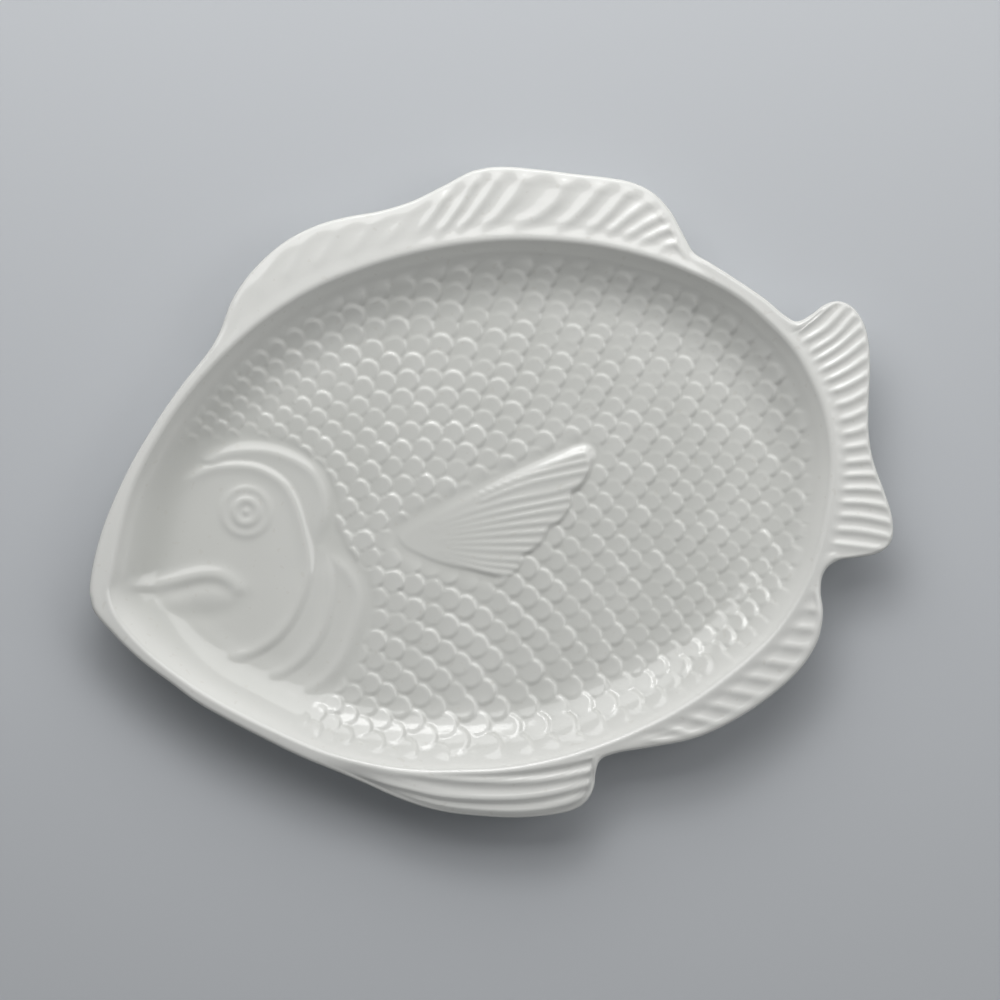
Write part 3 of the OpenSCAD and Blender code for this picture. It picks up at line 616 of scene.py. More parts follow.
@dataclass
class MeshDraft:
    """Points and faces of a mesh that is being drawn, in millimetres."""

    points: list[np.ndarray] = field(default_factory=list)
    faces: list[tuple[int, ...]] = field(default_factory=list)
    count: int = 0

    def add(self, points: np.ndarray) -> np.ndarray:
        """Adds points.

        Args:
            points: the points, in millimetres.

        Returns:
            Their numbers.
        """
        self.points.append(points)
        numbers = np.arange(self.count, self.count + len(points))
        self.count += len(points)
        return numbers

    def bridge(self, ring: np.ndarray, following: np.ndarray) -> None:
        """Joins two rings: face for face where both have as many points, else two steps to one.

        Args:
            ring: numbers of the first ring's points.
            following: numbers of the second ring's points, as many or half as many.
        """
        after = np.roll(following, -1)
        even, odd = ring[0::2], ring[1::2]
        if len(ring) == len(following):
            groups = [(ring, np.roll(ring, -1), after, following)]
        else:
            groups = [(even, odd, following), (odd, np.roll(even, -1), after), (odd, after, following)]
        for group in groups:
            self.faces.extend(map(tuple, np.stack(group, axis=1).tolist()))

    def grow(self, ring: np.ndarray, points: np.ndarray) -> np.ndarray:
        """Adds a ring and joins it to the last.

        Args:
            ring: numbers of the last ring's points.
            points: points of the new ring, as many or half as many.

        Returns:
            Numbers of the new ring's points.
        """
        following = self.add(points)
        self.bridge(ring, following)
        return following

    def fan(self, ring: np.ndarray, middle: np.ndarray) -> None:
        """Closes a ring with a fan of faces round a point."""
        centre = self.add(middle.reshape(1, 3))[0]
        self.faces.extend((int(a), int(b), int(centre)) for a, b in zip(ring, np.roll(ring, -1)))

    def object(self, name: str) -> bpy.types.Object:
        """Makes a Blender object, in metres, with its faces outwards.

        Args:
            name: the object's name.

        Returns:
            The new object, linked to the scene.
        """
        mesh = bpy.data.meshes.new(name)
        mesh.from_pydata((np.vstack(self.points) * MM).tolist(), [], self.faces)
        shell = bmesh.new()
        shell.from_mesh(mesh)
        bmesh.ops.recalc_face_normals(shell, faces=shell.faces)
        shell.to_mesh(mesh)
        shell.free()
        mesh.shade_smooth()
        return linked_object(name, mesh)


def linked_object(name: str, data: bpy.types.ID) -> bpy.types.Object:
    """Makes an object of a mesh, a light or a camera, and links it to the scene.

    Args:
        name: the object's name.
        data: what it shows.

    Returns:
        The new object.
    """
    made = bpy.data.objects.new(name, data)
    bpy.context.scene.collection.objects.link(made)
    return made


@dataclass(frozen=True)
class LipLine:
    """A soft ridge or crease along a line of the mouth, in millimetres."""

    line: Rows
    rise: float
    soft_over: float
    soft_under: float
    end_share: float = 0.35
    end_margin: float = 0.12
    curve_steps: int = 6

    def heights(self, points: np.ndarray) -> np.ndarray:
        """Works out the ridge over the plates.

        Args:
            points: places on the platter.

        Returns:
            The height at each place, less than 0 in a crease.
        """
        gap, along, side = curve_distance(points, smooth_line(self.line, self.curve_steps))
        soft = np.where(side > 0, self.soft_over, self.soft_under)
        arch = np.sin(np.pi * np.clip(self.end_margin + (1 - 2 * self.end_margin) * along, 0, 1))
        ends = self.end_share + (1 - self.end_share) * arch
        return self.rise * ends * np.exp(-((gap / soft) ** 2))


@dataclass
class HeadRelief:
    """The plates of the head, the eye and the lips: heights over the floor, in millimetres."""

    shape: PlatterShape
    cheek: float = 2.5
    gill: float = 1.9
    collar: float = 1.4
    edge_width: float = 7.6
    bead: float = 0.5
    bead_width: float = 3.0
    sink_share: float = 0.5
    sink_reach: float = 10.0
    wall_blend: float = 2.4
    curve_steps: int = 6
    eye_radius: float = 11.0
    iris_radius: float = 5.4
    pupil_radius: float = 2.6
    eye_ring: float = 0.7
    eye_dome: float = 0.8
    ring_soft: float = 2.0
    fade_start: float = 7.0
    fade_end: float = 27.0
    meeting: tuple[float, float] = (-79.0, -7.0)
    meeting_reach: float = 16.0
    meeting_share: float = 0.35
    mouth_top: float = 17.0
    mouth_full: float = 4.0
    lips: tuple[LipLine, ...] = (
        LipLine(UPPER_LIP, rise=1.35, soft_over=4.0, soft_under=3.6),
        LipLine(MOUTH, rise=-0.3, soft_over=2.8, soft_under=3.4),
        LipLine(LOWER_LIP, rise=0.7, soft_over=5.0, soft_under=6.0),
        LipLine(CHIN_CREASE, rise=-0.4, soft_over=4.0, soft_under=4.5),
    )

    def plate(self, points: np.ndarray, edge: Rows, root: Rows, rise: float) -> np.ndarray:
        """Raises one plate, with a soft bead along its edge and its middle sunk a little.

        Args:
            points: places on the platter.
            edge: the plate's visible edge.
            root: the way back from the end of that edge to its start.
            rise: height of the edge over the floor.

        Returns:
            The plate's height at each place.
        """
        depth, _ = loop_depth(points, smooth_loop(tuple(edge) + tuple(root), self.curve_steps))
        step = smooth_step(depth, -self.edge_width / 2, self.edge_width / 2)
        seen = curve_distance(points, smooth_line(edge, self.curve_steps))[0]
        sunk = self.sink_share * (1 - np.exp(-seen / self.sink_reach))
        bead = self.bead * np.exp(-(((seen - self.bead_width) / self.bead_width) ** 2))
        return step * (rise * (1 - sunk) + bead)

    def eye(self, points: np.ndarray) -> np.ndarray:
        """Raises the eye: a low dome, two rings and the pupil.

        Args:
            points: places on the platter.

        Returns:
            The eye's height over the cheek at each place.
        """
        gap = np.linalg.norm(points - np.array(EYE_CENTRE), axis=1)
        dome = self.eye_dome * smooth_step(-gap, -self.eye_radius - self.ring_soft, -self.iris_radius)
        rings = sum(
            self.eye_ring * np.exp(-(((gap - radius) / self.ring_soft) ** 2))
            for radius in (self.eye_radius, self.iris_radius)
        )
        pupil = self.eye_ring * smooth_step(-gap, -self.pupil_radius, 0)
        return dome + rings + pupil

    def heights(self, points: np.ndarray) -> np.ndarray:
        """Works out the whole head: the highest plate at each place, blended into the wall, with the mouth.

        Args:
            points: places on the platter.

        Returns:
            The height over the well's surface at each place.
        """
        mouth = sum(lip.heights(points) for lip in self.lips)
        from_meeting = np.linalg.norm(points - np.array(self.meeting), axis=1)
        away = smooth_step(from_meeting, 0, self.meeting_reach)
        swell = self.meeting_share + (1 - self.meeting_share) * away
        plates = (
            self.plate(points, CHEEK_EDGE, CHEEK_ROOT, self.cheek) + self.eye(points),
            self.plate(points, GILL_TOP_EDGE, GILL_TOP_ROOT, self.gill) * swell,
            self.plate(points, GILL_LOW_EDGE, GILL_LOW_ROOT, self.gill) * swell,
            self.plate(points, COLLAR_EDGE, COLLAR_ROOT, self.collar) * swell,
        )
        inside = self.shape.inside_by(points)
        wall = self.shape.well_height(inside) - self.shape.sizes.floor
        over = np.maximum.reduce(plates) * smooth_step(inside, self.fade_start, self.fade_end) - wall
        merged = (over + np.hypot(over, self.wall_blend) + wall - np.hypot(wall, self.wall_blend)) / 2
        return merged + mouth * smooth_step(-wall, -self.mouth_top, -self.mouth_full)


@dataclass
class SideFinRelief:
    """The side fin: four lobes that fan out from one root."""

    rise: float = 2.2
    rise_power: float = 1.7
    root_share: float = 0.2
    upper_edge: float = 7.0
    lower_edge: float = 2.2
    upper_end: float = 0.36
    upper_blend: float = 0.06
    ray_rise: float = 0.6
    ray_edge: tuple[float, float] = (-0.6, 1.2)
    ray_margin: float = 4.5
    ray_start: float = 0.06
    ray_full: float = 0.66
    curve_steps: int = 4

    def heights(self, points: np.ndarray) -> tuple[np.ndarray, np.ndarray]:
        """Works out the side fin over the well's surface.

        Args:
            points: places on the platter.

        Returns:
            The fin's height at each place, and the height of its rays there.
        """
        loop = smooth_loop(SIDE_EDGE, self.curve_steps)
        reach = np.linalg.norm(loop - SIDE_ROOT, axis=1).max()
        away = np.linalg.norm(points - SIDE_ROOT, axis=1)
        near = away < reach + self.upper_edge
        depth, along = loop_depth(points[near], loop)
        upper = 1 - smooth_step(along, self.upper_end - self.upper_blend, self.upper_end)
        width = self.lower_edge + (self.upper_edge - self.lower_edge) * upper
        run = away[near] / reach
        grown = self.root_share + (1 - self.root_share) * np.clip(run, 0, 1) ** self.rise_power
        start, full = self.ray_edge
        inner = smooth_step(depth, start, full + (self.ray_margin - full) * upper)
        rise, rays = np.zeros(len(points)), np.zeros(len(points))
        rise[near] = smooth_step(depth / width, -0.5, 0.5) * self.rise * grown
        rays[near] = self.ray_rise * inner * smooth_step(run, self.ray_start, self.ray_full)
        return rise, rays


@dataclass
class ScaleLattice:
    """The places of the scales, as smooth functions of the place on the body.

    U counts the columns of scales from the gills to the tail, and V the scales up each column. Neighbouring
    columns are half a scale apart.
    """

    shape: PlatterShape
    degree: int = 4
    span: float = 100.0
    tail_start: float = 60.0
    tail_weight: float = 3.0
    wall_start: float = 6.0
    wall_full: float = 12.0
    belly_start: float = 1.0
    belly_full: float = 6.5
    belly_shares: tuple[float, float] = (0.05, 0.35)
    beside_fin: float = 8.0
    beside_share: float = 0.15
    under_fin: float = 1.6
    curve_steps: int = 4

    def _terms(self, points: np.ndarray) -> tuple[np.ndarray, np.ndarray, np.ndarray]:
        """Works out the powers of x and y that the counts are made of.

        Args:
            points: places on the platter.

        Returns:
            The powers at each place, and their slopes along x and y.
        """
        x, y = (points / self.span).T
        powers = [(i, j) for i in range(self.degree + 1) for j in range(self.degree + 1 - i) if i + j]
        value = np.stack([x ** i * y ** j for i, j in powers], axis=1)
        along_x = np.stack([i * x ** max(i - 1, 0) * y ** j for i, j in powers], axis=1) / self.span
        along_y = np.stack([j * x ** i * y ** max(j - 1, 0) for i, j in powers], axis=1) / self.span
        return value, along_x, along_y

    def fit(self) -> list[np.ndarray]:
        """Fits the two counts to the listed steps.

        Returns:
            The factors of U and of V.
        """
        table = np.array(SCALE_STEPS, dtype=float)
        place, up, down = table[:, :2], table[:, 2:4], table[:, 4:6]
        _, along_x, along_y = self._terms(place)
        weight = np.where(place[:, 0] < self.tail_start, 1.0, self.tail_weight)
        rises = [along_x * step[:, :1] + along_y * step[:, 1:] for step in (up, down)]
        grid = np.vstack([rise * weight[:, None] for rise in rises])
        wanted = (np.append(weight, weight), np.append(weight * 0.5, weight * -0.5))
        return [np.linalg.lstsq(grid, values, rcond=None)[0] for values in wanted]

    def share(self, points: np.ndarray) -> np.ndarray:
        """Fades the scales out at the head, round and under the side fin, and up the wall.

        Args:
            points: places on the platter.

        Returns:
            The share of a scale's height at each place.
        """
        front = np.array(SCALE_FRONT)
        gap, along, side = curve_distance(points, front[:, :2])
        fade = np.interp(along, np.linspace(0, 1, len(front)), front[:, 2])
        share = smooth_step(np.where(side > 0, gap, -gap) / fade, 0, 1)
        gap = curve_distance(points, smooth_line(SIDE_TOP_EDGE, self.curve_steps))[0]
        share *= smooth_step(gap, self.beside_share * self.beside_fin, self.beside_fin)
        fin = smooth_loop(SIDE_EDGE, self.curve_steps)
        near = np.abs(points - fin.mean(axis=0)).max(axis=1) < np.ptp(fin[:, 0])
        share[near] *= 1 - smooth_step(loop_depth(points[near], fin)[0], 0, self.under_fin)
        sizes = self.shape.sizes
        belly = smooth_step((sizes.well_centre[1] - points[:, 1]) / sizes.well_width, *self.belly_shares)
        start = self.wall_start + (self.belly_start - self.wall_start) * belly
        full = self.wall_full + (self.belly_full - self.wall_full) * belly
        return share * smooth_step((self.shape.inside_by(points) - start) / (full - start), 0, 1)

    def fields(self, points: np.ndarray) -> dict[str, np.ndarray]:
        """Works out the fields that the relief tree reads.

        Args:
            points: places on the platter.

        Returns:
            The counts U and V, the steps in metres that raise each by 1, and the share of a scale's height.
        """
        value, along_x, along_y = self._terms(points)
        factors = self.fit()
        slope = np.stack([np.stack([along_x @ f, along_y @ f], axis=1) for f in factors], axis=1)
        steps = np.linalg.inv(slope) * MM
        flat = np.zeros(len(points))
        made = {"scale_share": self.share(points)}
        for k, name in enumerate("uv"):
            made["count_" + name] = value @ factors[k]
            made["step_" + name] = np.column_stack([steps[:, :, k], flat])
        return made


@dataclass(frozen=True)
class RibField:
    """Where the ribs of one fin stand on the rim.

    First and last count the listed points of the outline, as the soft ends do. The other values are in
    millimetres.
    """

    lines: tuple[Rows, ...]
    first: float
    last: float
    height: float
    from_well: float = 2.5
    from_edge: float = 2.6
    soft_first: float = 1.2
    soft_last: float = 1.2
    soft_well: float = 11.0
    soft_edge: float = 3.0

    def heights(self, places: np.ndarray, outside: np.ndarray, inside: np.ndarray) -> np.ndarray:
        """Works out how high the ribs may stand at points of the rim.

        Args:
            places: the place of each point on the outline.
            outside: how far outside the rim's inner edge each lies.
            inside: how far inside the outline each lies.

        Returns:
            The height at each point.
        """
        ends = smooth_step(places, self.first, self.first + self.soft_first)
        ends *= smooth_step(-places, -self.last, -self.last + self.soft_last)
        grow = smooth_step(outside, self.from_well, self.from_well + self.soft_well)
        fall = smooth_step(inside, self.from_edge, self.from_edge + self.soft_edge)
        return self.height * ends * grow * fall


def crest_object(name: str, lines: Sequence[Rows]) -> bpy.types.Object:
    """Draws crest lines as loose edges at the height of 0.

    Args:
        name: the object's name.
        lines: the lines, in millimetres.

    Returns:
        The new object, which isn't linked to the scene.
    """
    points: list[tuple[float, float, float]] = []
    edges: list[tuple[int, int]] = []
    for line in lines:
        curve = smooth_line(line, CREST_STEPS) * MM
        edges.extend((len(points) + k, len(points) + k + 1) for k in range(len(curve) - 1))
        points.extend((x, y, 0.0) for x, y in curve.tolist())
    mesh = bpy.data.meshes.new(name)
    mesh.from_pydata(points, edges, [])
    return bpy.data.objects.new(name, mesh)


class TreeMaker:
    """Adds nodes and links to a node tree, for trees of any kind."""

    def __init__(self, tree: bpy.types.NodeTree) -> None:
        """Keeps the tree."""
        self.tree = tree

    def input(self, name: str, kind: str = "NodeSocketFloat", value: Optional[float] = None) -> None:
        """Adds a named input to the tree.

        Args:
            name: the input's name.
            kind: the type of its socket.
            value: the value that it starts with, if one is given.
        """
        socket = self.tree.interface.new_socket(name=name, in_out="INPUT", socket_type=kind)
        if value is not None:
            socket.default_value = value

    def output(self, name: str, kind: str = "NodeSocketFloat") -> None:
        """Adds a named output to the tree."""
        self.tree.interface.new_socket(name=name, in_out="OUTPUT", socket_type=kind)

    def enter(self) -> bpy.types.bpy_prop_collection:
        """The sockets of the tree's inputs, by name."""
        return self.tree.nodes.new("NodeGroupInput").outputs

    def leave(self, **values: Socket) -> None:
        """Links values to the tree's outputs, by their names."""
        self.feed_all(self.tree.nodes.new("NodeGroupOutput").inputs, values)

    def feed(self, socket: bpy.types.NodeSocket, value: Socket) -> None:
        """Links a socket to another, or sets its value.

        Args:
            socket: the input that is fed.
            value: an output, or a plain value.
        """
        if isinstance(value, bpy.types.NodeSocket):
            self.tree.links.new(value, socket)
        else:
            socket.default_value = value

    def feed_all(self, sockets: bpy.types.bpy_prop_collection, values: dict[Union[str, int], Socket]) -> None:
        """Feeds the sockets that values names or numbers."""
        for key, value in values.items():
            self.feed(sockets[key], value)

    def node(self, kind: str, **values: Socket) -> bpy.types.Node:
        """Adds a node and feeds its inputs.

        Args:
            kind: the node's type.
            values: what its inputs get, by their names, with _ for a space.

        Returns:
            The new node.
        """
        made = self.tree.nodes.new(kind)
        self.feed_all(made.inputs, {name.replace("_", " "): value for name, value in values.items()})
        return made

    def math(self, operation: str, *values: Socket) -> bpy.types.NodeSocket:
        """Adds a Math node.

        Args:
            operation: what the node does.
            values: the numbers that it takes.

        Returns:
            The socket of its result.
        """
        made = self.tree.nodes.new("ShaderNodeMath")
        made.operation = operation
        self.feed_all(made.inputs, dict(enumerate(values)))
        return made.outputs[0]

    def product(self, *values: Socket) -> bpy.types.NodeSocket:
        """Multiplies two or more numbers, the first two first."""
        return functools.reduce(functools.partial(self.math, "MULTIPLY"), values)

    def vector(
        self, operation: str, *values: Socket, scale: Optional[Socket] = None
    ) -> bpy.types.NodeSocket:
        """Adds a Vector Math node.

        Args:
            operation: what the node does.
            values: the vectors that it takes.
            scale: the factor of a SCALE node.

        Returns:
            The socket of its result.
        """
        made = self.tree.nodes.new("ShaderNodeVectorMath")
        made.operation = operation
        self.feed_all(made.inputs, dict(enumerate(values)))
        if scale is not None:
            self.feed(made.inputs["Scale"], scale)
        return made.outputs["Value" if operation in ("LENGTH", "DOT_PRODUCT") else "Vector"]

    def smooth(self, value: Socket, low: Socket, high: Socket) -> bpy.types.NodeSocket:
        """Runs smoothly from 0 where value is low to 1 where it is high.

        Args:
            value: the number that counts.
            low: where the result is 0.
            high: where the result is 1.

        Returns:
            The socket of the result.
        """
        made = self.tree.nodes.new("ShaderNodeMapRange")
        made.interpolation_type = "SMOOTHSTEP"
        self.feed_all(made.inputs, {"Value": value, "From Min": low, "From Max": high})
        return made.outputs["Result"]

    def mix(self, share: Socket, first: Socket, second: Socket) -> bpy.types.NodeSocket:
        """Mixes two colours.

        Args:
            share: how much of the second shows.
            first: the first colour.
            second: the second colour.

        Returns:
            The socket of the mixed colour.
        """
        made = self.tree.nodes.new("ShaderNodeMix")
        made.data_type = "RGBA"
        self.feed_all(made.inputs, {"Factor": share, MIX_FIRST: first, MIX_SECOND: second})
        return made.outputs[MIX_RESULT]

    def attribute(self, name: str, kind: str = "FLOAT") -> bpy.types.NodeSocket:
        """Reads a named attribute of the geometry.

        Args:
            name: the attribute's name.
            kind: its data type.

        Returns:
            The socket of its value.
        """
        made = self.tree.nodes.new("GeometryNodeInputNamedAttribute")
        made.data_type = kind
        made.inputs["Name"].default_value = name
        return made.outputs["Attribute"]

    def group(self, inner: bpy.types.NodeTree, values: dict[str, Socket]) -> bpy.types.bpy_prop_collection:
        """Places a node group.

        Args:
            inner: the group.
            values: what its inputs get, by name.

        Returns:
            The sockets of its outputs, by name.
        """
        kind = "GeometryNodeGroup" if inner.bl_idname == "GeometryNodeTree" else "ShaderNodeGroup"
        made = self.tree.nodes.new(kind)
        made.node_tree = inner
        self.feed_all(made.inputs, values)
        return made.outputs


@dataclass(frozen=True)
class ReliefTree:
    """The Geometry Nodes tree that raises the relief on the casting, with its sizes in millimetres."""

    scale_height: float = 1.0
    scale_radius_share: float = 0.64
    scale_edge: float = 1.9
    scale_lean: float = 0.55
    scale_tail_share: float = 0.5
    scale_dome: float = -0.3
    scale_spread: float = 0.16
    usual_radius: float = 6.0
    crest_roundness: float = 0.16
    blend: float = 0.4

    def scale_inputs(self) -> dict[str, float]:
        """Sizes of the scales, by the names of the inputs that take them."""
        return {
            "Scale Height": self.scale_height * MM,
            "Scale Radius Share": self.scale_radius_share,
            "Scale Edge": self.scale_edge * MM,
            "Scale Lean": self.scale_lean,
            "Scale Tail Share": self.scale_tail_share,
            "Scale Dome": self.scale_dome,
            "Scale Spread": self.scale_spread,
            "Usual Radius": self.usual_radius * MM,
        }

    def column_group(self) -> bpy.types.NodeTree:
        """Builds the group that gives the height of the nearest scale of one column.

        A scale is a disc that stands higher towards the tail. Its place and size are off by a chance, which
        the numbers of its column and its place in it settle.

        Returns:
            The node group.
        """
        tree = bpy.data.node_groups.new("scale_column", "GeometryNodeTree")
        wires = TreeMaker(tree)
        for name in ("Column", "Count U", "Count V", *self.scale_inputs()):
            wires.input(name)
        for name in ("Step U", "Step V"):
            wires.input(name, "NodeSocketVector")
        wires.output("Height")
        enter = wires.enter()
        column, step_u, step_v = (enter[name] for name in ("Column", "Step U", "Step V"))
        in_column = wires.math("SUBTRACT", enter["Count V"], wires.math("MULTIPLY", column, 0.5))
        nearest = wires.math("ROUND", in_column)
        offset = wires.vector(
            "ADD",
            wires.vector("SCALE", step_u, scale=wires.math("SUBTRACT", enter["Count U"], column)),
            wires.vector("SCALE", step_v, scale=wires.math("SUBTRACT", in_column, nearest)),
        )
        pitch = wires.math("SQRT", wires.vector("LENGTH", wires.vector("CROSS_PRODUCT", step_u, step_v)))
        seed = wires.node("ShaderNodeCombineXYZ", X=column, Y=nearest, Z=CHANCE_SEED).outputs["Vector"]
        chance = wires.node("ShaderNodeTexWhiteNoise", Vector=seed).outputs
        vary = wires.product(wires.math("SUBTRACT", chance["Value"], 0.5), enter["Scale Spread"])
        aside = wires.vector("SUBTRACT", chance["Color"], (0.5, 0.5, 0.5))
        aside = wires.vector("MULTIPLY", aside, LEVEL)
        aside = wires.vector("SCALE", aside, scale=wires.product(pitch, enter["Scale Spread"]))
        offset = wires.vector("ADD", offset, aside)
        gap = wires.vector("LENGTH", offset)
        radius = wires.product(pitch, enter["Scale Radius Share"], wires.math("ADD", 1.0, vary))
        growth = wires.math("DIVIDE", radius, enter["Usual Radius"])
        inner = wires.math("SUBTRACT", radius, wires.product(enter["Scale Edge"], growth))
        edge = wires.smooth(gap, radius, inner)
        tailward = wires.vector("DOT_PRODUCT", wires.vector("NORMALIZE", step_u), offset)
        tailward = wires.math("DIVIDE", tailward, radius)
        lean = wires.math("MULTIPLY_ADD", tailward, enter["Scale Tail Share"], enter["Scale Lean"])
        high = wires.product(enter["Scale Height"], growth, wires.math("MULTIPLY_ADD", vary, 2.0, 1.0))
        out = wires.math("POWER", wires.math("MINIMUM", wires.math("DIVIDE", gap, radius), 1.0), 2.0)
        domed = wires.math("SUBTRACT", 1.0, wires.product(out, enter["Scale Dome"]))
        wires.leave(Height=wires.product(wires.product(lean, edge), wires.product(high, domed)))
        return tree

    def ribs(self, wires: TreeMaker, roundness: Socket) -> bpy.types.NodeSocket:
        """Works out the ribs and rays between the crest lines.

        Args:
            wires: the maker of the tree.
            roundness: how round the crests are.

        Returns:
            The height of the ribs over the rim, less than 0 in the grooves.
        """
        place = wires.node("GeometryNodeInputPosition").outputs["Position"]
        flat = wires.vector("MULTIPLY", place, LEVEL)
        gaps = []
        for name in ("Even Crests", "Odd Crests"):
            crests = wires.node("GeometryNodeObjectInfo", Object=wires.enter()[name]).outputs["Geometry"]
            near = wires.node("GeometryNodeProximity", Geometry=crests, Sample_Position=flat)
            near.target_element = "EDGES"
            gaps.append(near.outputs["Distance"])
        across = wires.math("DIVIDE", gaps[0], wires.math("ADD", *gaps))
        wave = wires.math("SINE", wires.math("MULTIPLY", across, math.pi))
        rounded = wires.math("MULTIPLY_ADD", wave, wave, wires.math("POWER", roundness, 2.0))
        crest = wires.math("SUBTRACT", wires.math("ADD", 1.0, roundness), wires.math("SQRT", rounded))
        ribs = wires.product(crest, wires.attribute("rib_rise"))
        return wires.math("SUBTRACT", ribs, wires.attribute("rib_sink"))

    def build(self) -> bpy.types.NodeTree:
        """Builds the whole tree.

        Returns:
            The node tree, ready for a modifier.
        """
        column_group = self.column_group()
        tree = bpy.data.node_groups.new("platter_relief", "GeometryNodeTree")
        wires = TreeMaker(tree)
        wires.input("Geometry", "NodeSocketGeometry")
        for name, value in self.scale_inputs().items():
            wires.input(name, value=value)
        wires.input("Crest Roundness", value=self.crest_roundness)
        wires.input("Blend", value=self.blend * MM)
        for name in ("Even Crests", "Odd Crests"):
            wires.input(name, "NodeSocketObject")
        wires.input("Glaze", "NodeSocketMaterial")
        wires.output("Geometry", "NodeSocketGeometry")
        enter = wires.enter()
        count_u = wires.attribute("count_u")
        given = {name: enter[name] for name in self.scale_inputs()}
        given.update({
            "Count U": count_u,
            "Count V": wires.attribute("count_v"),
            "Step U": wires.attribute("step_u", VECTOR),
            "Step V": wires.attribute("step_v", VECTOR),
        })
        scales = []
        for shift in (0, 1):
            given["Column"] = wires.math("ADD", wires.math("FLOOR", count_u), shift)
            scales.append(wires.group(column_group, given)["Height"])
        scales = wires.math("SMOOTH_MAX", *scales, enter["Blend"])
        scales = wires.product(scales, wires.attribute("scale_share"))
        raised = wires.math("SMOOTH_MAX", scales, wires.attribute("plate_rise"), enter["Blend"])
        raised = wires.math("SUBTRACT", raised, wires.math("MULTIPLY", enter["Blend"], SMOOTH_MAX_GAIN))
        on_well = wires.product(raised, wires.attribute("well_share"))
        relief = wires.math("ADD", on_well, self.ribs(wires, enter["Crest Roundness"]))
        normal = wires.node("GeometryNodeInputNormal").outputs["Normal"]
        offset = wires.vector("SCALE", normal, scale=relief)
        made = enter["Geometry"]
        for kind, values in (
            ("GeometryNodeSetPosition", {"Offset": offset}),
            ("GeometryNodeStoreNamedAttribute", {"Name": "relief", "Value": relief}),
            ("GeometryNodeRealizeInstances", {}),
            ("GeometryNodeSetMaterial", {"Material": enter["Glaze"]}),
        ):
            made = wires.node(kind, Geometry=made, **values).outputs["Geometry"]
        wires.leave(Geometry=made)
        return tree


def clay_group() -> bpy.types.NodeTree:
    """Builds the shader group of fired clay: cloudy tone, faint specks, painted shade for the glaze, and a
    soft ripple.

    Returns:
        The node group, which both finishes use.
    """
    tree = bpy.data.node_groups.new("fired_clay", "ShaderNodeTree")
    wires = TreeMaker(tree)
    for name in ("Body Color", "Shade And Cloud Color", "Speck Color"):
        wires.input(name, "NodeSocketColor")
    for name in (
        "Shade And Cloud Share", "Cloud Size", "Speck Size", "Speck Share", "Gloss Roughness", "Roughness Spread",
        "Ripple Size", "Grain Size", "Grain Share",
    ):
        wires.input(name)
    wires.output("Color", "NodeSocketColor")
    wires.output("Roughness")
    wires.output("Height")
    enter = wires.enter()
    place = wires.node("ShaderNodeTexCoord").outputs["Object"]

    def noise(name: str, detail: float) -> bpy.types.NodeSocket:
        """Soft noise whose lumps have the size that an input gives in metres."""
        scale = wires.math("DIVIDE", 1.0, enter[name])
        return wires.node("ShaderNodeTexNoise", Vector=place, Scale=scale, Detail=detail).outputs["Fac"]

    cloud = wires.smooth(noise("Cloud Size", 2.0), *CLOUD_RANGE)
    # The second colour over the body: painted shade on the glaze, a cloudy tone on the bare porcelain
    shade_and_cloud_mask = wires.product(wires.math("MULTIPLY_ADD", cloud, 1 - CLEAR_SHARE, CLEAR_SHARE), enter["Shade And Cloud Share"])
    shaded_and_clouded = wires.mix(shade_and_cloud_mask, enter["Body Color"], enter["Shade And Cloud Color"])
    speck = wires.product(wires.smooth(noise("Speck Size", 0.0), *SPECK_RANGE), enter["Speck Share"])
    rough = wires.math("MULTIPLY_ADD", cloud, enter["Roughness Spread"], enter["Gloss Roughness"])
    grain = wires.product(noise("Grain Size", 3.0), enter["Grain Share"])
    height = wires.math("ADD", noise("Ripple Size", 1.0), grain)
    wires.leave(Color=wires.mix(speck, shaded_and_clouded, enter["Speck Color"]), Roughness=rough, Height=height)
    return tree


